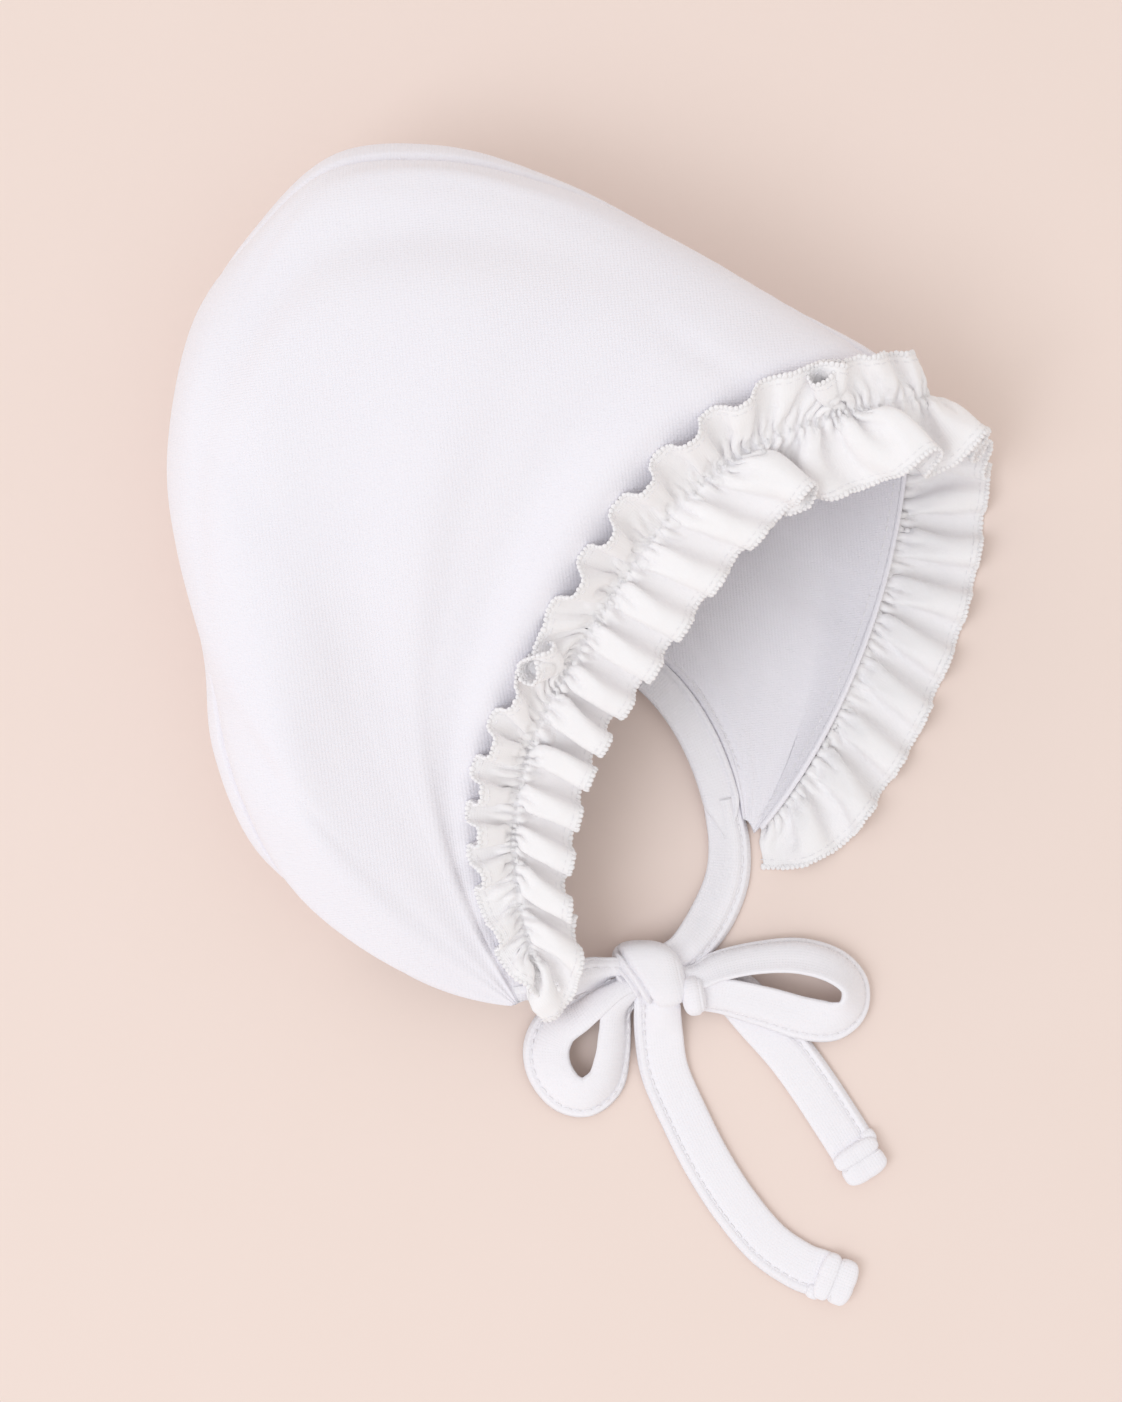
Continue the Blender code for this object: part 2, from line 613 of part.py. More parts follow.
def add_fold(name, table, reach, material):
    """Tail end turned back on itself and tacked down."""
    points = bow_points(table, reach)
    end = points[-1]
    along = unit((points[-1] - points[-2]) * np.array((1, 1, 0)))
    side = np.array((along[1], -along[0], 0))
    profile = ((0.0, 0.45), (0.06, 0.82), (0.28, 1.0), (0.50, 0.86), (0.72, 1.0),
               (0.94, 0.80), (1.0, 0.45))
    rings = []
    for share, height in profile:
        centre = end + along * (GAP * 2 + FOLD_LENGTH * share)
        ring = []
        for across, lift in ((-0.5, 0.12), (-0.44, 0.0), (0.44, 0.0), (0.5, 0.12),
                             (0.5, 0.7), (0.42, 1.0), (-0.42, 1.0), (-0.5, 0.7)):
            point = centre + side * across * TIE_WIDTH
            point[2] = GAP + lift * height * FOLD_CLOTH
            ring.append(point)
        rings.append(ring)
    return add_tube(name, np.array(rings), material)


def build():
    """Build every piece of the nightcap."""
    for old in list(bpy.data.objects):
        bpy.data.objects.remove(old, do_unlink=True)
    jersey = cloth_material("white_jersey", (0.86, 0.86, 0.88), 0.90)
    frill = cloth_material("white_frill_jersey", (0.88, 0.87, 0.87), 0.92)
    tape = cloth_material("white_jersey_tape", (0.87, 0.86, 0.87), 0.88)
    near_end = corner_angle(0.0)
    far_end = corner_angle(math.pi - FAR_CORNER)
    panel("side_panel_upper", near_end, seam_angle(0, -1), NEAR_STEPS, jersey)
    panel("crown_panel", seam_angle(0, 1), seam_angle(1, -1), CROWN_STEPS, jersey)
    panel("side_panel_lower", seam_angle(1, 1), far_end, FAR_STEPS, jersey)
    add_piping(jersey)
    add_ruffle(frill)
    add_binding(tape)
    cap_band("tie_upper", NEAR_TIE, tape)
    cap_band("tie_lower", FAR_TIE, tape)
    add_knot(tape)
    bow_band("bow_loop_left", LEFT_LOOP, LEFT_LOOP_REACH, LOOP_STATIONS, tape)
    bow_band("bow_loop_right", RIGHT_LOOP, RIGHT_LOOP_REACH, LOOP_STATIONS, tape)
    bow_band("tie_tail_long", LONG_TAIL, LONG_TAIL_REACH, TAIL_STATIONS, tape)
    bow_band("tie_tail_short", SHORT_TAIL, SHORT_TAIL_REACH, TAIL_STATIONS, tape)
    add_fold("tail_fold_long", LONG_TAIL, LONG_TAIL_REACH, tape)
    add_fold("tail_fold_short", SHORT_TAIL, SHORT_TAIL_REACH, tape)


build()
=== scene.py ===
"""Visual model of a ruffled cotton nightcap for a baby, lying on its far side.

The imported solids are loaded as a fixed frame, and a finer piece is built in the place
of each from the same named sizes.  The face opening looks towards -Y, the crown is at
+X, the neck at -X, and the cap rests on the plane z = 0.  Metres throughout.
"""

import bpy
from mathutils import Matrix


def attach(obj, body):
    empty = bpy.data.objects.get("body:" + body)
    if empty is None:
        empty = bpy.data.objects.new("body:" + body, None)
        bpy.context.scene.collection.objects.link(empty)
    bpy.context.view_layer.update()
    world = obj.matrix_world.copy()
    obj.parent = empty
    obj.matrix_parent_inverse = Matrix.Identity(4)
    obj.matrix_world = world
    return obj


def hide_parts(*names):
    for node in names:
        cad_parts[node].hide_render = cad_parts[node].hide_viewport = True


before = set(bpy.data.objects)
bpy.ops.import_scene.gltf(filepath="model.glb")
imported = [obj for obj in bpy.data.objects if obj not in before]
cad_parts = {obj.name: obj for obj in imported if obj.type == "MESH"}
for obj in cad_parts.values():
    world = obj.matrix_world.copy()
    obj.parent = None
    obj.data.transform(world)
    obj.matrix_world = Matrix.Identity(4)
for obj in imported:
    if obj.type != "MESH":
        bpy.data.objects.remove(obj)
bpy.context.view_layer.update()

import logging
import math
from collections.abc import Callable, Sequence
from dataclasses import dataclass
from enum import Enum

import bmesh
import bpy
import numpy as np
from mathutils import Matrix, Vector

Array = np.ndarray
LOG = logging.getLogger("nightcap")
MM = 0.001
TIE_WIDTH = 12.0 * MM
# Turn of the picture's upright about the vertical, which the bow is laid out along
PICTURE_TURN = math.radians(-57.7)
# Steps in place or angle for slopes, the step in from a rim, and a least divisor
TINY = 1.0e-4
SMALL = TINY * 10
RIM_STEP = 0.001
LEAST = 1e-9
UP = np.array((0.0, 0.0, 1.0))
LEVEL = np.array((1.0, 1.0, 0.0))
# Scale of a wave texture with one band a metre, and the colour sockets of a mix node
ONE_BAND = math.pi / 10
MIX_FIRST, MIX_SECOND, MIX_RESULT = 6, 7, 2
# Powers that shape a lump: how its rings gather at its ends, and how fast they widen
LUMP_RUN, LUMP_SWELL = 0.8, 0.62

# Ribs of the shell, from the face edge over the back of the head to the neck edge.
# x, y, z: the rib's outermost point, as shares of the cap's height, depth and width.
# crest: rise of the near half over its own ends, as a share of the cap's width.
# bow: sideways bend of the near half, as a share of the cap's depth; power: its fullness.
# floor: height of the cloth's middle where the far half lies, in cloth thicknesses.
RIBS = (
    # place    x      y      z    crest   bow   power  floor
    (0.000,  0.306, -0.353, 0.53, 0.430, 0.210, 3.0, 2.60),
    (0.030,  0.316, -0.297, 0.58, 0.530, 0.222, 3.0, 1.90),
    (0.110,  0.312, -0.142, 0.62, 0.575, 0.222, 2.7, 0.50),
    (0.190,  0.306,  0.018, 0.62, 0.610, 0.200, 2.4, 0.50),
    (0.280,  0.291,  0.184, 0.58, 0.620, 0.174, 2.2, 0.50),
    (0.360,  0.246,  0.336, 0.56, 0.610, 0.147, 2.0, 0.50),
    (0.420,  0.177,  0.436, 0.53, 0.605, 0.121, 2.0, 0.50),
    (0.500,  0.030,  0.479, 0.53, 0.580, 0.100, 2.0, 0.50),
    (0.570, -0.098,  0.482, 0.53, 0.540, 0.084, 2.0, 0.50),
    (0.640, -0.236,  0.433, 0.53, 0.480, 0.068, 2.0, 0.50),
    (0.720, -0.349,  0.354, 0.51, 0.415, 0.058, 2.0, 0.50),
    (0.790, -0.455,  0.247, 0.49, 0.330, 0.047, 2.0, 0.50),
    (0.860, -0.553,  0.173, 0.42, 0.240, 0.037, 2.0, 0.50),
    (0.920, -0.627,  0.072, 0.38, 0.140, 0.032, 2.0, 0.70),
    (1.000, -0.652, -0.081, 0.35, 0.050, 0.023, 2.0, 1.30),
)
# Run of the far half of a rib over the floor, from the far corner to the outermost
# point: two guide points, as shares of the cap's height and depth.
FAR_RUNS = (
    # place  lead_x  lead_y  tail_x  tail_y
    (0.000, -0.105, -0.515,  0.150, -0.455),
    (0.110, -0.080, -0.485,  0.150, -0.370),
    (0.280, -0.040, -0.440,  0.120, -0.120),
    (0.500,  0.000, -0.370,  0.070,  0.080),
    (0.720,  0.010, -0.320, -0.010,  0.200),
    (0.880,  0.005, -0.280, -0.100,  0.170),
    (1.000,  0.000, -0.253, -0.147,  0.116),
)
# Seams between the panels, as angles round each rib from the near corner
SEAMS = (
    # place  near   far
    (0.000,  80.0, 106.0),
    (0.060,  84.0, 109.0),
    (0.110,  87.0, 112.0),
    (0.200,  87.5, 117.0),
    (0.280,  83.0, 122.0),
    (0.360,  79.5, 126.0),
    (0.420,  78.5, 130.0),
    (0.500,  81.0, 132.0),
    (0.570,  88.0, 134.0),
    (0.640,  90.0, 133.0),
    (0.720,  86.0, 132.0),
    (0.860,  66.0, 130.0),
    (1.000,  58.0, 128.0),
)
# Soft folds of the shell: middle, run and breadth in place and angle, depth as a share
# of the cap's width, negative inwards.  The first five are those of the solids.
FOLDS = (
    # place  angle  run_place run_angle breadth  depth
    (0.400,  62.0,    0.16,     -6.0,    0.085, -0.050),
    (0.660,  55.0,    0.03,     14.0,    0.080, -0.030),
    (0.175,  40.0,    0.02,     26.0,    0.050, -0.030),
    (0.300,  24.0,    0.16,      4.0,    0.100, -0.030),
    (0.560,  30.0,    0.20,      4.0,    0.110,  0.030),
    (0.090,  62.0,    0.05,      3.0,    0.030, -0.010),
    (0.048,  34.0,    0.004,    26.0,    0.022,  0.022),
    (0.105,  40.0,    0.005,    20.0,    0.040, -0.024),
    (0.330,  74.0,    0.08,     -2.0,    0.030,  0.010),
    (0.460,  70.0,    0.06,     -5.0,    0.026, -0.009),
    (0.520,  46.0,    0.05,     10.0,    0.030, -0.008),
    (0.740,  38.0,    0.03,     14.0,    0.028, -0.010),
    (0.820,  46.0,    0.03,     12.0,    0.024,  0.008),
    (0.240, 146.0,    0.18,     -3.0,    0.070,  0.030),
    (0.420, 152.0,    0.14,      4.0,    0.050, -0.016),
)
# Ruffle round the face edge: each frill's width as a share of its full width, its
# waves as a share of the full wave, and the slope of the front frill
RUFFLE = (
    # place front  back  waves  slope
    (0.000, 0.75, 0.50, 0.40, -0.10),
    (0.080, 0.85, 0.98, 0.90, -0.15),
    (0.200, 1.00, 1.12, 1.00, -0.10),
    (0.300, 1.00, 1.22, 1.00, -0.10),
    (0.400, 1.00, 1.04, 1.00, -0.08),
    (0.500, 0.88, 0.72, 0.90, -0.35),
    (0.600, 1.02, 0.65, 0.65, -0.08),
    (0.800, 1.12, 0.50, 0.50,  0.02),
    (0.900, 1.02, 0.50, 0.45,  0.02),
    (0.960, 0.86, 0.45, 0.35,  0.01),
    (1.000, 0.25, 0.20, 0.20,  0.00),
)
# Way the neck binding stands off the edge: across the opening, and down
BINDING_LEAN = (
    # place across  down
    (0.00,  0.30,  0.95),
    (0.20,  0.40,  0.90),
    (0.40,  1.00,  0.40),
    (0.55,  1.00,  0.00),
    (1.00,  1.00,  0.00),
)
# Bands of the bow.  u, v: across and along the bow from the knot, as shares of the
# band's reach; z: height in tie widths; bank: how far the band leans, in degrees;
# breadth: share of the tie width.
LEFT_LOOP = (
    # u      v      z     bank  breadth
    (-0.243, -0.097, 0.56, -56, 0.62),
    (-0.374, -0.170, 0.52, -48, 0.80),
    (-0.537, -0.291, 0.46, -38, 0.90),
    (-0.690, -0.395, 0.38, -24, 0.98),
    (-0.758, -0.545, 0.34, -16, 1.00),
    (-0.735, -0.714, 0.34, -18, 1.00),
    (-0.623, -0.860, 0.36, -24, 1.00),
    (-0.473, -0.890, 0.38, -28, 1.00),
    (-0.338, -0.787, 0.40, -32, 0.96),
    (-0.286, -0.606, 0.42, -36, 0.90),
    (-0.268, -0.430, 0.46, -38, 0.86),
    (-0.245, -0.262, 0.50, -40, 0.80),
)
RIGHT_LOOP = (
    (0.178, -0.020, 0.62, 40, 0.62),
    (0.290,  0.032, 0.58, 42, 0.76),
    (0.470,  0.070, 0.54, 42, 0.82),
    (0.660,  0.078, 0.54, 42, 0.92),
    (0.815,  0.032, 0.54, 46, 0.98),
    (0.905, -0.056, 0.54, 52, 1.00),
    (0.900, -0.165, 0.52, 46, 1.00),
    (0.810, -0.226, 0.46, 28, 1.00),
    (0.680, -0.216, 0.46, 20, 0.98),
    (0.510, -0.168, 0.48, 22, 0.94),
    (0.330, -0.122, 0.52, 26, 0.88),
    (0.196, -0.104, 0.56, 30, 0.76),
)
LONG_TAIL = (
    (0.010, -0.096, 0.56, 0, 0.95),
    (0.016, -0.180, 0.26, 0, 1.00),
    (0.034, -0.290, 0.12, 0, 1.00),
    (0.090, -0.420, 0.12, 0, 1.00),
    (0.155, -0.548, 0.12, 0, 1.00),
    (0.232, -0.668, 0.12, 0, 1.00),
    (0.322, -0.775, 0.12, 0, 1.00),
    (0.412, -0.838, 0.12, 0, 1.00),
    (0.468, -0.860, 0.12, 0, 1.00),
)
SHORT_TAIL = (
    (0.125, -0.010, 0.30, 0, 0.55),
    (0.215, -0.042, 0.22, 0, 0.80),
    (0.292, -0.094, 0.15, 0, 0.98),
    (0.358, -0.168, 0.12, 0, 1.00),
    (0.462, -0.285, 0.12, 0, 1.00),
    (0.545, -0.398, 0.12, 0, 1.00),
    (0.624, -0.518, 0.12, 0, 1.00),
    (0.680, -0.606, 0.12, 0, 1.00),
)
# Edges of the layers wrapped round the knot's left side: place along the knot, lean and
# bend as shares of its half length, and the step down as a share of its radius
KNOT_WRAPS = (
    # start  lean   bend  step
    (-0.34, 0.34, -0.04, 0.130),
    (-0.62, 0.32, -0.04, 0.130),
    (-0.86, 0.30,  0.00, 0.220),
)
# Two rolls of a tail's folded end: place along it, half length, half width as a share of
# the tie's, and height as a share of the end's
TAIL_ROLLS = (
    # place  half        width height
    (0.25, 2.6 * MM, 0.52, 1.00),
    (0.68, 3.3 * MM, 0.50, 0.96),
)
# Ties from the cap to the knot, in the cap's own directions: middle line as shares of
# the cap's height and depth, height in tie widths
NEAR_TIE = (
    # x       y      z     bank  breadth
    (-0.603, -0.349, 1.46, -66, 0.86),
    (-0.569, -0.381, 0.94, -44, 0.88),
    (-0.547, -0.402, 0.66, -44, 0.82),
    (-0.529, -0.420, 0.60, -54, 0.68),
)
FAR_TIE = (
    (-0.304, -0.461, 0.16,   0, 0.86),
    (-0.349, -0.485, 0.16,   0, 0.92),
    (-0.404, -0.494, 0.22,   6, 0.95),
    (-0.4525, -0.489, 0.42,  12, 0.85),
)
# Section of a tie, round from its stitched edge over its upper face to its folded edge
# and back below: shares of its breadth and of half its thickness
TIE_SECTION = (
    # across  up
    (-0.490,  0.05),
    (-0.480,  0.50),
    (-0.455,  0.88),
    (-0.415,  0.98),
    (-0.375,  0.86),
    (-0.340,  0.42),
    (-0.305,  0.40),
    (-0.270,  0.84),
    (-0.200,  1.05),
    (-0.050,  1.12),
    (0.150,   1.14),
    (0.320,   1.10),
    (0.420,   0.98),
    (0.470,   0.70),
    (0.495,   0.25),
    (0.498,  -0.20),
    (0.470,  -0.70),
    (0.400,  -0.95),
    (0.150,  -1.00),
    (-0.150, -1.00),
    (-0.400, -1.00),
    (-0.480, -0.92),
    (-0.530, -0.60),
    (-0.535, -0.25),
    (-0.500, -0.08),
)
# Section of the neck binding: a bead where it joins the panels, then the flat fold
BINDING_SECTION = (
    (-0.500,  0.00),
    (-0.495,  0.75),
    (-0.460,  1.25),
    (-0.415,  1.45),
    (-0.365,  1.25),
    (-0.325,  0.70),
    (-0.290,  0.62),
    (-0.220,  0.86),
    (-0.050,  0.98),
    (0.200,   1.00),
    (0.380,   0.94),
    (0.460,   0.66),
    (0.500,   0.10),
    (0.470,  -0.66),
    (0.380,  -0.94),
    (0.000,  -1.00),
    (-0.300, -1.00),
    (-0.460, -0.80),
)


class Finish(Enum):
    """Cloth finishes of the cap."""

    JERSEY = "cotton_jersey_brushed"
    FRILL = "cotton_jersey_thin"
    TAPE = "cotton_jersey_folded"
    THREAD = "cotton_sewing_thread"


class Trim(Enum):
    """Small shapes that repeat along a line: stitches, and beads for a looped edge."""

    STITCH = "stitch"
    PICOT = "picot"


def linear(hex_colour: str) -> tuple[float, float, float, float]:
    """Turn an sRGB hex colour into linear values.

    Args:
        hex_colour: six hex digits after a hash.

    Returns:
        Red, green, blue and an alpha of one.
    """
    values = [int(hex_colour[i:i + 2], 16) / 255 for i in (1, 3, 5)]
    red, green, blue = (v / 12.92 if v <= 0.04045 else ((v + 0.055) / 1.055) ** 2.4 for v in values)
    return red, green, blue, 1.0


def unit(vectors: Array) -> Array:
    """Return vectors brought to length one."""
    return vectors / np.maximum(np.linalg.norm(vectors, axis=-1, keepdims=True), 1e-12)


def smooth(value: Array) -> Array:
    """Return an easy step from 0 to 1 over values 0 to 1."""
    value = np.clip(value, 0, 1)
    return value ** 2 * (3 - 2 * value)


def blend(table: Sequence[Sequence[float]], places: Array) -> Array:
    """Read a table's columns smoothly at the given places.

    Args:
        table: rows whose first column is the place.
        places: where to read it.

    Returns:
        One array for each column after the first.
    """
    rows = np.array(table, float)
    spots, values = rows[:, 0], rows[:, 1:]
    slopes = np.gradient(values, spots, axis=0)
    places = np.clip(np.asarray(places, float), spots[0], spots[-1])
    index = np.clip(np.searchsorted(spots, places, side="right") - 1, 0, len(spots) - 2)
    step = spots[index + 1] - spots[index]
    share = ((places - spots[index]) / step)[..., None]
    step = step[..., None]
    start = (1 + 2 * share) * (1 - share) ** 2 * values[index]
    leave = share * (1 - share) ** 2 * step * slopes[index]
    end = share ** 2 * (3 - 2 * share) * values[index + 1]
    arrive = share ** 2 * (share - 1) * step * slopes[index + 1]
    return np.moveaxis(start + leave + end + arrive, -1, 0)


def run_length(points: Array) -> Array:
    """Return the distance along a run of points, from zero at the first."""
    return np.concatenate(((0.0,), np.cumsum(np.linalg.norm(np.diff(points, axis=0), axis=1))))


def even_shares(points: Array, count: int) -> Array:
    """Find positions in a run of points that are spaced evenly along it.

    Args:
        points: the run of points.
        count: how many positions.

    Returns:
        Fractional indices into the run.
    """
    length = run_length(points)
    return np.interp(np.linspace(0, length[-1], count), length, np.arange(len(points)))


def uneven_turns(length: Array, pitch: float, jitter: float, seed: int) -> Array:
    """Phase of a row of folds whose spacing varies, as fingers gather cloth.

    Args:
        length: distance along the line.
        pitch: mean distance from fold to fold.
        jitter: spread of the spacing as a share of the pitch.
        seed: fixes the spacing.

    Returns:
        The phase in radians at each distance.
    """
    chance = np.random.default_rng(seed)
    count = int(length[-1] / pitch * 1.6) + 8
    spots = np.cumsum(pitch * (1 + jitter * chance.uniform(-1, 1, count)))
    return 2 * math.pi * np.interp(length, np.concatenate(((0.0,), spots)), np.arange(count + 1))


def around_section(section: Array, width: float, thickness: float, last: float) -> Array:
    """Find distances round a band's section, for its knit map.

    Args:
        section: shares of the width and of half the thickness.
        width: the band's width.
        thickness: its thickness.
        last: distance from the last point back to the first.

    Returns:
        The distance at each point and, once round, at the first again.
    """
    around = run_length(np.column_stack((section[:, 0] * width, section[:, 1] * thickness / 2)))
    return np.append(around, around[-1] + last)


def set_values(node: bpy.types.Node, values: dict) -> None:
    """Set a node's inputs by name or index."""
    for name, value in values.items():
        node.inputs[name].default_value = value


def add_node(tree: bpy.types.NodeTree, kind: str, links: dict | None = None,
             values: dict | None = None, **settings: object) -> bpy.types.Node:
    """Add a node with its settings and what feeds it.

    Args:
        tree: the tree to add it to.
        kind: the node's type.
        links: input name or index to the output socket that feeds it.
        values: input name or index to its value.
        settings: properties of the node.

    Returns:
        The new node.
    """
    node = tree.nodes.new(kind)
    for name, value in settings.items():
        setattr(node, name, value)
    set_values(node, values or {})
    for name, socket in (links or {}).items():
        tree.links.new(socket, node.inputs[name])
    return node


def new_material(name: str) -> tuple[bpy.types.Material, bpy.types.NodeTree, bpy.types.Node]:
    """Make an empty material.

    Args:
        name: its name.

    Returns:
        The material, its node tree and its shader.
    """
    material = bpy.data.materials.new(name)
    material.use_nodes = True
    return material, material.node_tree, material.node_tree.nodes["Principled BSDF"]


def shade_between(tree: bpy.types.NodeTree, factor: bpy.types.NodeSocket, first: str,
                  second: str) -> bpy.types.NodeSocket:
    """Add a colour that drifts between two shades.

    Args:
        tree: the tree to add it to.
        factor: the share of the second shade.
        first: hex colour of the first shade.
        second: hex colour of the second.

    Returns:
        The colour's socket.
    """
    tone = add_node(tree, "ShaderNodeMix", {"Factor": factor},
                    {MIX_FIRST: linear(first), MIX_SECOND: linear(second)}, data_type="RGBA")
    return tone.outputs[MIX_RESULT]


def add_object(name: str, data: bpy.types.ID) -> bpy.types.Object:
    """Put an object with this data at the scene's origin."""
    item = bpy.data.objects.new(name, data)
    bpy.context.scene.collection.objects.link(item)
    return item


@dataclass(frozen=True)
class Cloth:
    """A cotton knit: its colours, its soft shine and the relief of its loops."""

    name: str
    colour: str
    shade: str
    roughness: float
    sheen: float
    depth: float
    wale: float
    course: float
    knit: float
    fuzz: float

    @staticmethod
    def bands(tree: bpy.types.NodeTree, knit_map: bpy.types.NodeSocket, pitch: float,
              waver: float, way: str) -> bpy.types.NodeSocket:
        """Add bands of the knit.

        Args:
            tree: the tree to add them to.
            knit_map: the map in metres.
            pitch: distance from band to band.
            waver: how unevenly they run.
            way: the axis of the map that crosses them.

        Returns:
            The socket with their height.
        """
        wave = add_node(tree, "ShaderNodeTexWave", {"Vector": knit_map},
                        {"Scale": ONE_BAND / pitch, "Distortion": waver, "Detail": 1.0,
                         "Detail Scale": 0.4}, bands_direction=way)
        return wave.outputs["Fac"]

    def material(self) -> bpy.types.Material:
        """Make the material, which reads the piece's own map in metres along the knit.

        Returns:
            The material.
        """
        material, tree, shader = new_material(self.name)
        knit_map = add_node(tree, "ShaderNodeUVMap", uv_map="knit").outputs["UV"]
        place = add_node(tree, "ShaderNodeTexCoord").outputs["Object"]
        # Wales run along the cloth and courses across it: one loop for each crossing
        wales = self.bands(tree, knit_map, self.wale, 0.35, "X")
        courses = self.bands(tree, knit_map, self.course, 0.5, "Y")
        loops = add_node(tree, "ShaderNodeMath", {0: wales, 1: courses}, operation="ADD")
        # Fibre ends that stand off the loops, about half a millimetre apart
        fibres = add_node(tree, "ShaderNodeTexNoise", {"Vector": place},
                          {"Scale": 1 / (0.55 * MM), "Detail": 3.0, "Roughness": 0.6})
        # Slow unevenness of the knit's tension, over a few centimetres
        drift = add_node(tree, "ShaderNodeTexNoise", {"Vector": place},
                         {"Scale": 1 / (24 * MM), "Detail": 2.0})
        tone = shade_between(tree, drift.outputs["Fac"], self.colour, self.shade)
        tree.links.new(tone, shader.inputs["Base Color"])
        knit = add_node(tree, "ShaderNodeBump", {"Height": loops.outputs["Value"]},
                        {"Strength": self.knit, "Distance": 0.12 * MM})
        nap = add_node(tree, "ShaderNodeBump", {"Height": fibres.outputs["Fac"],
                                                "Normal": knit.outputs["Normal"]},
                       {"Strength": self.fuzz, "Distance": 0.15 * MM})
        tree.links.new(nap.outputs["Normal"], shader.inputs["Normal"])
        set_values(shader, {
            "Roughness": self.roughness, "Metallic": 0.0, "IOR": 1.53, "Specular IOR Level": 0.25,
            "Sheen Weight": self.sheen, "Sheen Roughness": 0.55, "Subsurface Weight": self.depth,
            "Subsurface Radius": (1.0, 0.92, 0.88), "Subsurface Scale": 1.2 * MM})
        return material


# Brushed jersey gives a soft, matt, faintly cool white with a fine grain.  The thin
# jersey of the frills lets some light through and shows its loops less.  The folded
# jersey of the ties shows its wales as fine ribs across the tie.  Thread has a little
# more shine, and its colours are painted a shade darker: painted shade for the groove it lies in.
CLOTHS = {
    Finish.JERSEY: Cloth("cotton_jersey_brushed", "#F2F0F6", "#EFEDF4", 0.92, 0.25, 0.10,
                         0.80 * MM, 0.62 * MM, 0.40, 0.60),
    Finish.FRILL: Cloth("cotton_jersey_thin", "#F6F4F5", "#F4F2F4", 0.90, 0.25, 0.22,
                        0.80 * MM, 0.62 * MM, 0.22, 0.25),
    Finish.TAPE: Cloth("cotton_jersey_folded", "#F4F2F6", "#F1EFF4", 0.90, 0.22, 0.12,
                       0.80 * MM, 0.75 * MM, 0.40, 0.30),
    # Thread colours: a shade darker than the cloth, painted shade for the groove the stitches lie in
    Finish.THREAD: Cloth("cotton_sewing_thread", "#F2F0F2", "#EFEDF0", 0.75, 0.15, 0.10,
                         0.30 * MM, 0.30 * MM, 0.10, 0.05),
}


class Wardrobe:
    """Keeps one material for each finish."""

    made: dict[Finish, bpy.types.Material] = {}

    @classmethod
    def material(cls, finish: Finish) -> bpy.types.Material:
        """Return the finish's material, made once."""
        if finish not in cls.made:
            cls.made[finish] = CLOTHS[finish].material()
        return cls.made[finish]


def make_piece(name: str, vertices: Array, faces: Array, corner_map: Array,
               finish: Finish) -> bpy.types.Object:
    """Make a mesh object of four-sided faces with its knit map.

    Args:
        name: the piece's name.
        vertices: points in metres.
        faces: four vertex numbers for each face.
        corner_map: map position in metres for each face corner.
        finish: its cloth.

    Returns:
        The object, at the origin.
    """
    name = f"{name}_cloth"
    mesh = bpy.data.meshes.new(name)
    mesh.from_pydata(vertices.tolist(), [], faces.tolist())
    layer = mesh.uv_layers.new(name="knit")
    layer.data.foreach_set("uv", corner_map.reshape(-1).astype(np.float32))
    mesh.materials.append(Wardrobe.material(finish))
    mesh.shade_smooth()
    return add_object(name, mesh)


def volume_sign(vertices: Array, faces: Array) -> float:
    """Find which way a closed mesh's faces point.

    Args:
        vertices: its points.
        faces: its four-sided faces.

    Returns:
        The sign of its volume, negative if its faces point inwards.
    """
    a, b, c, d = (vertices[faces[:, k]] for k in range(4))
    first = np.einsum("ij,ij->i", a, np.cross(b, c)).sum()
    return float(np.sign(first + np.einsum("ij,ij->i", a, np.cross(c, d)).sum()))


def make_plate(name: str, outer: Array, inner: Array, knit_map: Array,
               finish: Finish) -> bpy.types.Object:
    """Make a closed sheet of cloth from the grids of its two faces.

    Args:
        name: the piece's name.
        outer: rows and columns of points of one face.
        inner: the same of the other face.
        knit_map: map position in metres at each grid point.
        finish: its cloth.

    Returns:
        The object.
    """
    rows, columns = outer.shape[:2]
    shift = rows * columns
    index = np.arange(shift).reshape(rows, columns)
    a, b = index[:-1, :-1].ravel(), index[:-1, 1:].ravel()
    c, d = index[1:, 1:].ravel(), index[1:, :-1].ravel()
    rim = np.concatenate((index[0, :-1], index[:-1, -1], index[-1, :0:-1], index[:0:-1, 0]))
    after = np.roll(rim, -1)
    faces = np.concatenate((np.column_stack((a, b, c, d)),
                            np.column_stack((a, d, c, b)) + shift,
                            np.column_stack((rim, rim + shift, after + shift, after))))
    vertices = np.concatenate((outer.reshape(-1, 3), inner.reshape(-1, 3)))
    if volume_sign(vertices, faces) < 0:
        faces = faces[:, ::-1]
    spots = np.tile(knit_map.reshape(-1, 2), (2, 1))
    return make_piece(name, vertices, faces, spots[faces.ravel()], finish)


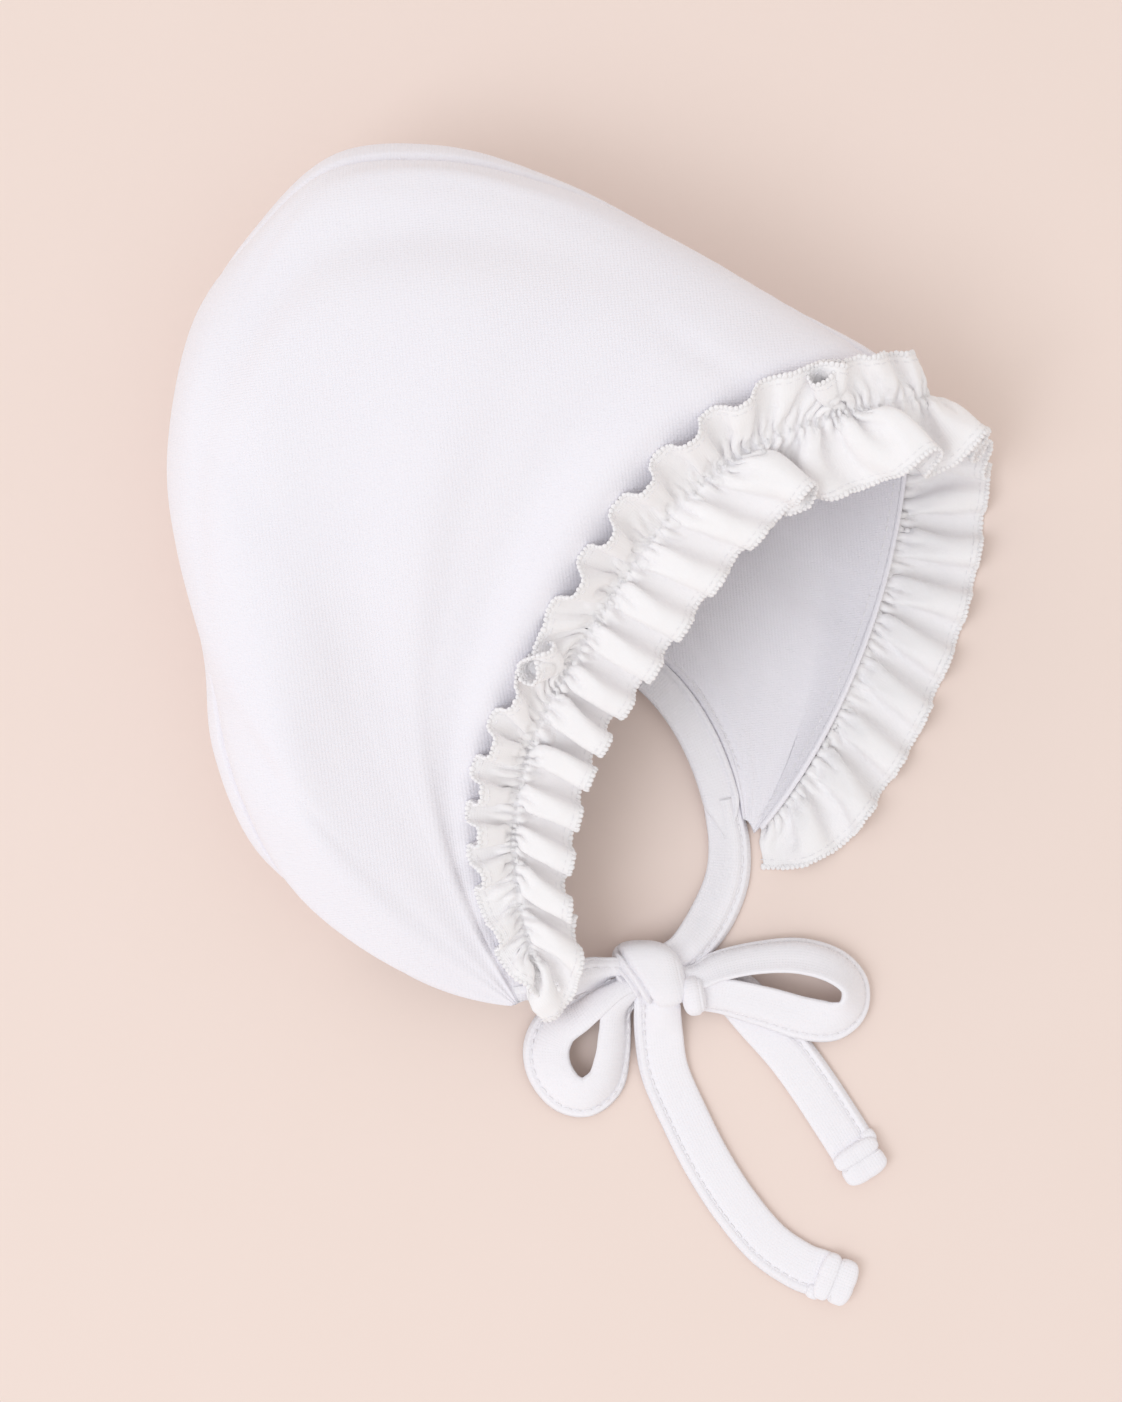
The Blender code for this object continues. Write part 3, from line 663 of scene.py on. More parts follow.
def make_tube(name: str, rings: Array, along: Array, around: Array,
              finish: Finish) -> bpy.types.Object:
    """Make a closed solid through a run of rings, each end closed by rungs across it.

    Args:
        name: the piece's name.
        rings: points of each ring.
        along: distance of each ring along the piece.
        around: distance of each ring point round its section, one more than the points.
        finish: its cloth.

    Returns:
        The object.
    """
    count, sides = rings.shape[:2]
    grid = np.arange(count * sides).reshape(count, sides)
    following = np.roll(grid, -1, axis=1)
    faces = np.stack((grid[:-1], following[:-1], following[1:], grid[1:]), -1).reshape(-1, 4)
    first, last = along[:-1, None], along[1:, None]
    corners = ((first, around[:-1]), (first, around[1:]), (last, around[1:]), (last, around[:-1]))
    spots = np.stack([np.stack(np.broadcast_arrays(*corner), -1) for corner in corners], 2)
    spots = spots.reshape(-1, 4, 2)
    caps, cap_spots = [], []
    vertices = rings.reshape(-1, 3)
    for ring, where in ((grid[0, ::-1], along[0]), (grid[-1], along[-1])):
        for k in range(sides // 2 - 1):
            caps.append((ring[k], ring[k + 1], ring[sides - 2 - k], ring[sides - 1 - k]))
            cap_spots.append(((where, 0.0),) * 4)
    faces = np.concatenate((faces, np.array(caps)))
    spots = np.concatenate((spots, np.array(cap_spots)))
    if volume_sign(vertices, faces) < 0:
        faces, spots = faces[:, ::-1], spots[:, ::-1]
    piece = make_piece(name, vertices, faces, spots, finish)
    if sides % 2:
        close_ends(piece.data)
    return piece


def close_ends(mesh: bpy.types.Mesh) -> None:
    """Fill the small openings left in an end with an odd number of corners.

    Args:
        mesh: the mesh to close.
    """
    shaper = bmesh.new()
    shaper.from_mesh(mesh)
    bmesh.ops.holes_fill(shaper, edges=[e for e in shaper.edges if e.is_boundary], sides=4)
    shaper.to_mesh(mesh)
    shaper.free()


def make_lump(name: str, centre: Array, axes: Array, halves: tuple[float, float, float],
              fullness: float, shape: Callable[[Array, Array], Array], finish: Finish,
              steps: tuple[int, int] = (72, 40), lean: float = 0.0) -> bpy.types.Object:
    """Make a soft closed lump, full at its corners, with its folds pressed in.

    Args:
        name: the piece's name.
        centre: its middle.
        axes: its three directions, as rows; the poles lie along the first.
        halves: half sizes along them.
        fullness: 2 for an ellipsoid, more for a boxier lump.
        shape: gives the share of the radius from the place along the first axis, -1 to 1,
            and the turn round it.
        finish: its cloth.
        steps: points round it and rings along it.
        lean: how far its first direction shifts for each step along its second.

    Returns:
        The object.
    """
    sides, count = steps
    swing = math.pi * (np.arange(count) + 0.5) / count
    turn = 2 * math.pi * np.arange(sides) / sides
    swing, turn = np.meshgrid(swing, turn, indexing="ij")
    corner = (np.abs(np.cos(turn)) ** fullness + np.abs(np.sin(turn)) ** fullness) ** (-1 / fullness)
    run = np.sign(np.cos(swing)) * np.abs(np.cos(swing)) ** LUMP_RUN
    wide = np.sin(swing) ** LUMP_SWELL * corner * shape(run, turn)
    local = np.stack((run * halves[0], np.cos(turn) * wide * halves[1],
                      np.sin(turn) * wide * halves[2]), -1)
    local[..., 0] += lean * local[..., 1]
    rings = centre + local @ axes
    along = run[:, 0] * halves[0]
    around = np.linspace(0, 2 * math.pi * max(halves[1:]), sides + 1)
    return make_tube(name, rings, along, around, finish)


def join(pieces: list[bpy.types.Object], name: str) -> bpy.types.Object:
    """Join pieces into the first one.

    Args:
        pieces: mesh objects at the origin.
        name: the joined piece's name.

    Returns:
        The joined object.
    """
    with bpy.context.temp_override(active_object=pieces[0], selected_editable_objects=pieces):
        bpy.ops.object.join()
    pieces[0].name = pieces[0].data.name = f"{name}_cloth"
    return pieces[0]


def dress(piece: bpy.types.Object, finish: Finish, *nodes: str) -> bpy.types.Object:
    """Hand a finished piece to the frame.

    Args:
        piece: the piece.
        finish: its cloth; not used.
        nodes: the solids that it stands for.

    Returns:
        The same piece.
    """
    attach(piece, "root")
    if nodes:
        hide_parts(*nodes)
    triangles = sum(len(face.vertices) - 2 for face in piece.data.polygons)
    LOG.info("%-20s %7d triangles", piece.name, triangles)
    return piece


@dataclass(frozen=True)
class Sewing:
    """A row of small thread shapes along a line on the cloth."""

    trim: Trim
    pitch: float
    length: float
    width: float
    height: float
    seed: int = 3
    spread: float = 0.15
    segments: int = 8
    rings: int = 5

    def tree(self) -> bpy.types.NodeTree:
        """Build the node tree that sets one shape at each step along the line.

        Returns:
            The tree, with its inputs named.
        """
        tree = bpy.data.node_groups.new(f"sew_{self.trim.value}", "GeometryNodeTree")
        inputs = (("Geometry", "NodeSocketGeometry"), ("Pitch", "NodeSocketFloat"),
                  ("Length", "NodeSocketFloat"), ("Width", "NodeSocketFloat"),
                  ("Height", "NodeSocketFloat"), ("Seed", "NodeSocketInt"),
                  ("Thread", "NodeSocketMaterial"))
        for name, kind in inputs:
            tree.interface.new_socket(name=name, in_out="INPUT", socket_type=kind)
        tree.interface.new_socket(name="Geometry", in_out="OUTPUT",
                                  socket_type="NodeSocketGeometry")
        given = add_node(tree, "NodeGroupInput").outputs
        line = add_node(tree, "GeometryNodeMeshToCurve", {"Mesh": given["Geometry"]})
        steps = add_node(tree, "GeometryNodeResampleCurve", {"Curve": line.outputs["Curve"],
                                                             "Length": given["Pitch"]}, mode="LENGTH")
        tangent = add_node(tree, "GeometryNodeInputTangent")
        facing = add_node(tree, "GeometryNodeInputNamedAttribute", values={"Name": "facing"},
                          data_type="FLOAT_VECTOR")
        lie = add_node(tree, "FunctionNodeAxesToRotation",
                       {"Primary Axis": tangent.outputs["Tangent"],
                        "Secondary Axis": facing.outputs["Attribute"]},
                       primary_axis="X", secondary_axis="Z")
        vary = add_node(tree, "FunctionNodeRandomValue", {"Seed": given["Seed"]}, data_type="FLOAT")
        set_values(vary, {2: 1 - self.spread, 3: 1 + self.spread})
        sizes = add_node(tree, "ShaderNodeCombineXYZ", {"X": given["Length"], "Y": given["Width"],
                                                        "Z": given["Height"]})
        shape = add_node(tree, "GeometryNodeMeshUVSphere", values={
            "Segments": self.segments, "Rings": self.rings, "Radius": 0.5})
        sized = add_node(tree, "GeometryNodeTransform", {"Geometry": shape.outputs["Mesh"],
                                                         "Scale": sizes.outputs["Vector"]})
        placed = add_node(tree, "GeometryNodeInstanceOnPoints",
                          {"Points": steps.outputs["Curve"], "Instance": sized.outputs["Geometry"],
                           "Rotation": lie.outputs["Rotation"], "Scale": vary.outputs[1]})
        real = add_node(tree, "GeometryNodeRealizeInstances",
                        {"Geometry": placed.outputs["Instances"]})
        soft = add_node(tree, "GeometryNodeSetShadeSmooth", {"Geometry": real.outputs["Geometry"]})
        done = add_node(tree, "GeometryNodeSetMaterial", {"Geometry": soft.outputs["Geometry"],
                                                          "Material": given["Thread"]})
        add_node(tree, "NodeGroupOutput", {"Geometry": done.outputs["Geometry"]})
        return tree

    def sew(self, name: str, lines: list[tuple[Array, Array]]) -> bpy.types.Object:
        """Sew along lines and return the result as one plain mesh.

        Args:
            name: the piece's name.
            lines: each line's points and the way the cloth faces at each.

        Returns:
            The object with every shape in its mesh.
        """
        points = np.concatenate([line for line, _ in lines])
        facing = np.concatenate([unit(way) for _, way in lines])
        edges, start = [], 0
        for line, _ in lines:
            edges += [(start + k, start + k + 1) for k in range(len(line) - 1)]
            start += len(line)
        mesh = bpy.data.meshes.new(name + "_line")
        mesh.from_pydata(points.tolist(), edges, [])
        mesh.attributes.new("facing", "FLOAT_VECTOR", "POINT").data.foreach_set(
            "vector", facing.reshape(-1).astype(np.float32))
        guide = add_object(name + "_line", mesh)
        tree = self.tree()
        sewing = guide.modifiers.new("sewing", "NODES")
        sewing.node_group = tree
        finish = Finish.THREAD if self.trim is Trim.STITCH else Finish.FRILL
        amounts = {"Pitch": self.pitch, "Length": self.length, "Width": self.width,
                   "Height": self.height, "Seed": self.seed, "Thread": Wardrobe.material(finish)}
        for socket in tree.interface.items_tree:
            if socket.in_out == "INPUT" and socket.name in amounts:
                sewing[socket.identifier] = amounts[socket.name]
        result = bpy.data.meshes.new_from_object(
            guide.evaluated_get(bpy.context.evaluated_depsgraph_get()))
        result.name = name
        bpy.data.objects.remove(guide, do_unlink=True)
        if not result.uv_layers:
            result.uv_layers.new(name="knit")
        return add_object(name, result)


TOPSTITCH = Sewing(Trim.STITCH, 2.6 * MM, 1.9 * MM, 0.48 * MM, 0.44 * MM)
FINE_STITCH = Sewing(Trim.STITCH, 2.2 * MM, 1.6 * MM, 0.34 * MM, 0.28 * MM)
EDGE_PICOT = Sewing(Trim.PICOT, 1.25 * MM, 1.45 * MM, 1.70 * MM, 0.95 * MM, rings=6)


@dataclass(frozen=True)
class CapForm:
    """Surface of the cap's shell as it lies, folds included.

    A point has a place, 0 at the face edge to 1 at the neck edge, and an angle round
    the opening, 0 at the near corner to pi at the far one.
    """

    height: float = 0.190
    depth: float = 0.190
    width: float = 0.072
    cloth: float = 0.0020
    gap: float = 0.0003
    jaw_turn: float = 0.04
    floor_cosine: float = 0.62
    corner_share: float = 0.30
    edge_step: float = 0.012
    near_end: float = math.radians(1.0)
    fold_start: float = math.radians(24.0)
    ruffle_end: float = 0.050
    near_face: tuple[float, float, float] = (-0.5974, -0.3526, 0.2778)
    near_neck: tuple[float, float, float] = (-0.6316, -0.3263, 0.2847)
    far_corner: tuple[float, float] = (-0.2895, -0.4789)
    jaw_share: float = 0.2

    @property
    def size(self) -> Array:
        """Return the cap's three sizes."""
        return np.array((self.height, self.depth, self.width))

    @property
    def near_jaw(self) -> tuple[Array, Array]:
        """Return the near corner at the face edge and at the neck edge."""
        return self.size * self.near_face, self.size * self.near_neck

    @property
    def far_jaw(self) -> Array:
        """Return the far corner."""
        x, y = self.far_corner
        return np.array((x * self.height, y * self.depth, 1.6 * self.cloth))

    def near_half(self, place: Array, angle: Array) -> Array:
        """Find points of the ribs from the near corner up to the outermost line.

        Args:
            place: 0 at the face edge to 1 at the neck edge.
            angle: 0 at the near corner to a right angle.

        Returns:
            The points.
        """
        x, y, z, crest, bow, power, _ = blend(RIBS, place)
        turn = (1 - self.jaw_share) * np.clip(place / self.jaw_turn, 0, 1) + self.jaw_share * place
        face_jaw, neck_jaw = self.near_jaw
        jaw = face_jaw + (neck_jaw - face_jaw) * turn[..., None]
        outer = np.stack((x * self.height, y * self.depth, z * self.width), -1)
        share = np.sin(angle)
        chord = outer - jaw
        side = unit(np.stack((-chord[..., 1], chord[..., 0]), -1))
        swell = bow * self.depth * (1 - np.abs(2 * share - 1) ** power)
        plan = jaw[..., :2] + chord[..., :2] * share[..., None] + side * swell[..., None]
        height = outer[..., 2] + (jaw[..., 2] - outer[..., 2]) * np.cos(angle)
        height = height + crest * self.width * np.sin(2 * angle)
        return np.concatenate((plan, height[..., None]), -1)

    def far_half(self, place: Array, angle: Array) -> Array:
        """Find points of the ribs from the outermost line down and along the floor.

        Args:
            place: 0 at the face edge to 1 at the neck edge.
            angle: a right angle to pi at the far corner.

        Returns:
            The points.
        """
        x, y, z, _, _, _, floor = blend(RIBS, place)
        lead_x, lead_y, tail_x, tail_y = blend(FAR_RUNS, place)
        outer = np.stack((x * self.height, y * self.depth), -1)
        lead = np.stack((lead_x * self.height, lead_y * self.depth), -1)
        tail = np.stack((tail_x * self.height, tail_y * self.depth), -1)
        share = np.sin(angle)[..., None]
        rest = 1 - share
        plan = rest ** 3 * self.far_jaw[:2] + 3 * rest ** 2 * share * lead
        plan = plan + 3 * rest * share ** 2 * tail + share ** 3 * outer
        low = np.maximum(floor, 0.5) * self.cloth
        low = self.far_jaw[2] + (low - self.far_jaw[2]) * smooth(np.sin(angle) / self.corner_share)
        lift = np.clip(1 + np.cos(angle) / self.floor_cosine, 0, 1) ** 2
        height = low + (z * self.width - low) * lift
        return np.concatenate((plan, height[..., None]), -1)

    def fold_depth(self, place: Array, angle: Array) -> Array:
        """Add up the soft folds.

        Args:
            place: 0 at the face edge to 1 at the neck edge.
            angle: 0 at the near corner to pi at the far one.

        Returns:
            Their depth, inwards negative.
        """
        depth = np.zeros_like(place)
        for middle, turn, run_place, run_angle, breadth, share in FOLDS:
            along = np.array((run_place, math.radians(run_angle)))
            across = unit(np.array((-along[1], along[0])))
            offset = np.stack((place - middle, angle - math.radians(turn)), -1)
            down = offset @ along / np.sum(along ** 2)
            over = offset @ across / breadth
            depth = depth + share * self.width * np.exp(-over ** 2 - down ** 2)
        return depth * smooth(angle / self.fold_start)

    def middle(self, place: Array, angle: Array) -> Array:
        """Find the middle of the cloth before its folds.

        Args:
            place: 0 at the face edge to 1 at the neck edge.
            angle: 0 at the near corner to pi at the far one.

        Returns:
            The points.
        """
        near = self.near_half(place, np.minimum(angle, math.pi / 2))
        far = self.far_half(place, np.maximum(angle, math.pi / 2))
        return np.where((angle <= math.pi / 2)[..., None], near, far)

    def plain_normal(self, place: Array, angle: Array) -> Array:
        """Find the way that the cloth faces before its folds.

        Args:
            place: 0 at the face edge to 1 at the neck edge.
            angle: 0 at the near corner to pi at the far one.

        Returns:
            The outward normals.
        """
        forward = self.middle(place + TINY, angle) - self.middle(place - TINY, angle)
        low = np.clip(angle - SMALL, 0.0, math.pi)
        high = np.clip(angle + SMALL, 0.0, math.pi)
        return unit(np.cross(self.middle(place, high) - self.middle(place, low), forward))

    def point(self, place: Array, angle: Array) -> Array:
        """Return the middle of the cloth with its folds."""
        depth = self.fold_depth(place, angle)[..., None]
        return self.middle(place, angle) + self.plain_normal(place, angle) * depth

    def normal(self, place: Array, angle: Array) -> Array:
        """Find the way that the folded cloth faces.

        Args:
            place: 0 at the face edge to 1 at the neck edge.
            angle: 0 at the near corner to pi at the far one.

        Returns:
            The outward normals.
        """
        ahead = np.clip(place + SMALL, 0.0, 1.0)
        behind = np.clip(place - SMALL, 0.0, 1.0)
        low = np.clip(angle - SMALL, 0.0, math.pi)
        high = np.clip(angle + SMALL, 0.0, math.pi)
        forward = self.point(ahead, angle) - self.point(behind, angle)
        return unit(np.cross(self.point(place, high) - self.point(place, low), forward))

    def edge_angles(self, place: float, first: float, last: float, count: int) -> Array:
        """Space angles evenly along the length of one rib.

        Args:
            place: the rib's place.
            first: the first angle.
            last: the last angle.
            count: how many.

        Returns:
            The angles.
        """
        fine = np.linspace(first, last, 1441)
        points = self.middle(np.full_like(fine, place), fine)
        return np.interp(even_shares(points, count), np.arange(len(fine)), fine)

    def seam(self, column: int, side: int) -> Callable[[Array], Array]:
        """Find a seam round the ribs, moved aside by the gap between panels.

        Args:
            column: 0 for the near seam or 1 for the far one.
            side: -1 for the panel before it, 1 for the panel after.

        Returns:
            A function from places to angles.
        """
        def angle(places: Array) -> Array:
            """Return the seam's angle at each place."""
            seam = np.radians(blend(SEAMS, places)[column])
            step = self.middle(places, seam + SMALL) - self.middle(places, seam)
            return seam + side * self.gap / (np.linalg.norm(step, axis=-1) / SMALL)
        return angle

    def line_inside(self, place: float, angles: Array, inset: float,
                    face: int) -> tuple[Array, Array]:
        """Find a line on one face of the cloth, a set distance in from an edge.

        Args:
            place: 0 for the face edge or 1 for the neck edge.
            angles: where along the edge.
            inset: distance from the edge.
            face: 1 for the outer face of the cloth, -1 for the inner.

        Returns:
            Points and the way the cloth faces at each.
        """
        inwards = 1 if place < 0.5 else -1
        edge = self.middle(np.full_like(angles, place), angles)
        near = self.middle(np.full_like(angles, place + inwards * self.edge_step), angles)
        pace = np.linalg.norm(near - edge, axis=1) / self.edge_step
        spot = place + inwards * inset / pace
        facing = self.normal(spot, angles) * face
        return self.point(spot, angles) + facing * self.cloth / 2, facing


@dataclass
class Shell:
    """The three panels of doubled jersey, sewn edge to edge."""

    form: CapForm
    rows: int = 150
    near_columns: int = 210
    crown_columns: int = 84
    far_columns: int = 120
    dip: float = 1.50 * MM
    dip_reach: float = 1.1 * MM
    pull_in: float = 0.9 * MM
    pull_reach: float = 6.0 * MM
    pucker: float = 0.13 * MM
    pucker_pitch: float = 4.6 * MM
    drape: float = 0.20 * MM
    wale_turn: float = math.radians(-52.0)
    rim: float = 0.06
    rim_rows: int = 25
    uneven: float = 0.35
    far_stop: float = 0.028
    stitch_inset: float = 2.0 * MM
    stitch_points: int = 200
    face_stitches: tuple[float, float] = (1.55, math.pi - 0.06)
    neck_stitches: tuple[float, float] = (0.9, math.pi - 0.10)

    def panel(self, name: str, first: Callable[[Array], Array], last: Callable[[Array], Array],
              columns: int, seams: tuple[bool, bool]) -> bpy.types.Object:
        """Build one panel between two angles, sunk along its seams.

        Args:
            name: the piece's name.
            first: angle of its first side at each place.
            last: angle of its last side.
            columns: points across it.
            seams: whether each side is a seam.

        Returns:
            The panel.
        """
        form = self.form
        places = np.concatenate((np.linspace(0.0, self.rim, self.rim_rows + 1)[:-1],
                                 np.linspace(self.rim, 1.0, self.rows - self.rim_rows)))
        place = np.repeat(places[:, None], columns, 1)
        start = first(places)[:, None]
        angle = start + (last(places)[:, None] - start) * np.linspace(0, 1, columns)[None, :]
        middle, normal = form.point(place, angle), form.normal(place, angle)
        steps = np.linalg.norm(np.diff(middle, axis=1), axis=2)
        from_first = np.concatenate((np.zeros((self.rows, 1)), np.cumsum(steps, 1)), 1)
        from_last = from_first[:, -1:] - from_first
        sunk, swell = np.zeros_like(place), np.zeros_like(place)
        for distance, line, sewn in ((from_first, middle[:, 0], seams[0]),
                                     (from_last, middle[:, -1], seams[1])):
            if sewn:
                turns = uneven_turns(run_length(line), self.pucker_pitch, self.uneven, len(name))
                pull = np.sin(turns)[:, None]
                sunk += self.dip * np.exp(-(distance / self.dip_reach) ** 2)
                sunk += self.pucker * (1 + pull) * np.exp(-distance / (2.6 * self.dip_reach))
                swell += self.pull_in * np.exp(-(distance / self.pull_reach) ** 2)
        # Faint uneven drape, which dies out towards the face and neck edges
        ripple = np.sin(place * 23 + 3.1 * np.sin(angle * 2.3))
        ripple = ripple * np.sin(angle * 7.3 + 2.2 * np.sin(place * 5))
        inside = smooth(place * 8) * smooth((1 - place) * 8)
        middle = middle + normal * (ripple * self.drape * inside)[..., None]
        middle = middle - normal * (0.5 * sunk + swell)[..., None]
        outer = middle + normal * (form.cloth / 2 - 0.5 * sunk)[..., None]
        inner = middle - normal * (form.cloth / 2)
        outer[..., 2] = np.maximum(outer[..., 2], 0.0)
        inner[..., 2] = np.maximum(inner[..., 2], form.cloth * 0.4)
        wale = np.array((math.cos(self.wale_turn), math.sin(self.wale_turn)))
        course = middle[..., 0] * -wale[1] + middle[..., 1] * wale[0]
        knit_map = np.stack((middle[..., :2] @ wale, course), -1)
        return dress(make_plate(name, outer, inner, knit_map, Finish.JERSEY), Finish.JERSEY, name)

    def far_side(self, places: Array) -> Array:
        """Return the angle at which the far panel stops, short of the far corner."""
        return np.full_like(places, math.pi - self.far_stop)

    def build(self) -> None:
        """Build the panels and the topstitching along their edges."""
        seam = self.form.seam
        self.panel("side_panel_upper", np.zeros_like, seam(0, -1), self.near_columns, (False, True))
        self.panel("crown_panel", seam(0, 1), seam(1, -1), self.crown_columns, (True, True))
        self.panel("side_panel_lower", seam(1, 1), self.far_side, self.far_columns, (True, False))
        lines = []
        for place, ends in ((0.0, self.face_stitches), (1.0, self.neck_stitches)):
            angles = self.form.edge_angles(place, *ends, self.stitch_points)
            lines.append(self.form.line_inside(place, angles, self.stitch_inset, -1))
        dress(FINE_STITCH.sew("panel_topstitch", lines), Finish.THREAD)


@dataclass
class FacePiping:
    """Narrow rolled line between the face edge and the ruffle."""

    form: CapForm
    radius: float = 0.90 * MM
    out_share: float = 0.6
    in_share: float = 0.3
    stations: int = 420
    sides: int = 12
    twist: float = 0.04
    twist_pitch: float = 2.4 * MM

    def build(self) -> None:
        """Build the piping."""
        form = self.form
        angle = form.edge_angles(0.0, form.near_end, math.pi - form.ruffle_end, self.stations)
        place = np.zeros_like(angle)
        edge = form.middle(place, angle)
        away = unit(edge - form.middle(place + form.edge_step, angle))
        outward = form.plain_normal(place + RIM_STEP, angle)
        centre = edge + away * self.radius * self.out_share - outward * self.radius * self.in_share
        turn = 2 * math.pi * np.arange(self.sides) / self.sides
        along = run_length(centre)
        twist = self.twist * np.sin(2 * math.pi * along / self.twist_pitch)
        radius = self.radius * (1 + twist)[:, None, None]
        rings = centre[:, None, :] + radius * (np.cos(turn)[None, :, None] * away[:, None, :]
                                               + np.sin(turn)[None, :, None] * outward[:, None, :])
        around = np.linspace(0, 2 * math.pi * self.radius, self.sides + 1)
        piping = make_tube("face_piping", rings, along, around, Finish.JERSEY)
        dress(piping, Finish.JERSEY, "face_piping")


@dataclass
class Strip:
    """Grid of cloth points whose lengths along and across are kept while it settles.

    Rows run across the strip and columns along it.  A point with weight 0 is sewn down.
    """

    points: Array
    weight: Array
    step: float
    across: Array
    hold: Callable[[Array], None]
    gravity: float = 1.2
    pace: float = 1 / 400
    drag: float = 0.965
    fastest: float = 1.0
    passes: int = 10
    along_bends: tuple[tuple[int, float, int], ...] = ((2, 0.25, 2), (4, 0.12, 3), (7, 0.07, 5))
    across_bends: tuple[tuple[int, float], ...] = ((2, 0.5), (4, 0.5), (8, 0.4))

    def pull(self, first: tuple, second: tuple, rest: Array | float, share: float,
             press_only: bool) -> None:
        """Move pairs of points towards their rest distance.

        Args:
            first: index of the first points.
            second: index of the second points.
            rest: the distance that they have in flat cloth.
            share: how much of the difference is taken up.
            press_only: whether only pairs that are too close move.
        """
        a, b = self.points[first], self.points[second]
        weight_a, weight_b = self.weight[first], self.weight[second]
        gap = b - a
        length = np.maximum(np.linalg.norm(gap, axis=-1), LEAST)
        off = length - rest
        if press_only:
            off = np.minimum(off, 0)
        move = (share * off / length / np.maximum(weight_a + weight_b, LEAST))[..., None] * gap
        self.points[first] = a + move * weight_a[..., None]
        self.points[second] = b - move * weight_b[..., None]

    @staticmethod
    def starts(count: int, span: int, turn: int) -> Array:
        """Choose the first members of pairs a span apart, so that no two pairs share a point.

        Args:
            count: how many points there are.
            span: the span.
            turn: 0 or 1, which of the two halves of the pairs.

        Returns:
            Their indices.
        """
        index = np.arange(count - span)
        return index[(index // span) % 2 == turn]

    def pairs(self, seam: int) -> list[tuple]:
        """List all pairs of points that keep their distance.

        Args:
            seam: the row that is gathered, over which the strip may fold.

        Returns:
            First and second index, rest distance, share and whether it only presses.
        """
        rows, columns = self.weight.shape
        every = np.arange(rows)[:, None]
        width = np.concatenate((np.zeros((1, columns)), np.cumsum(self.across, 0)))
        found = []
        for turn in (0, 1):
            i = self.starts(columns, 1, turn)
            found.append(((every, i), (every, i + 1), self.step, 0.9, False))
        for turn in (0, 1):
            j = self.starts(rows, 1, turn)[:, None]
            whole, column = np.arange(columns)[None], np.arange(columns - 1)[None]
            slant = np.sqrt(self.step ** 2 + self.across[j, column] ** 2)
            found.append(((j, whole), (j + 1, whole), self.across[j, whole], 0.9, False))
            found.append(((j, column), (j + 1, column + 1), slant, 0.25, False))
            found.append(((j, column + 1), (j + 1, column), slant, 0.25, False))
        for span, share, off in self.along_bends:
            far = every[np.abs(every - seam) >= off][:, None]
            for turn in (0, 1):
                i = self.starts(columns, span, turn)
                found.append(((far, i), (far, i + span), span * self.step, share, True))
        for first, last in ((0, seam + 1), (seam, rows)):
            for span, share in self.across_bends:
                for turn in (0, 1):
                    j = self.starts(last - first, span, turn) + first
                    if len(j):
                        found.append(((j,), (j + span,), width[j + span] - width[j], share, True))
        return found

    def settle(self, seam: int, steps: int) -> Array:
        """Let the strip settle.

        Args:
            seam: the gathered row.
            steps: steps of time.

        Returns:
            The settled points.
        """
        pairs = self.pairs(seam)
        speed = np.zeros_like(self.points)
        free = (self.weight > 0)[..., None]
        fall = np.array((0, 0, -self.gravity)) * self.pace ** 2
        for _ in range(steps):
            before = self.points.copy()
            self.points += (speed * self.drag * self.pace + fall) * free
            for _ in range(self.passes):
                for pair in pairs:
                    self.pull(*pair)
                self.hold(self.points)
            speed = (self.points - before) / self.pace
            size = np.maximum(np.linalg.norm(speed, axis=-1, keepdims=True), LEAST)
            speed *= np.minimum(1, self.fastest / size)
        return self.points


def refine(grid: Array, count: int, axis: int) -> Array:
    """Draw a smooth curve through the points along one axis of a grid.

    Args:
        grid: the points.
        count: how many points to return along the axis.
        axis: the axis.

    Returns:
        The finer grid.
    """
    grid = np.moveaxis(grid, axis, 0)
    last = len(grid) - 1
    spot = np.linspace(0, last, count)
    k = np.clip(np.floor(spot).astype(int), 0, last - 1)
    t = (spot - k).reshape(-1, *([1] * (grid.ndim - 1)))
    a, b, c, d = grid[np.clip(k - 1, 0, last)], grid[k], grid[k + 1], grid[np.clip(k + 2, 0, last)]
    curve = b + 0.5 * t * (c - a + t * (2 * a - 5 * b + 4 * c - d + t * (3 * (b - c) + d - a)))
    return np.moveaxis(curve, 0, axis)


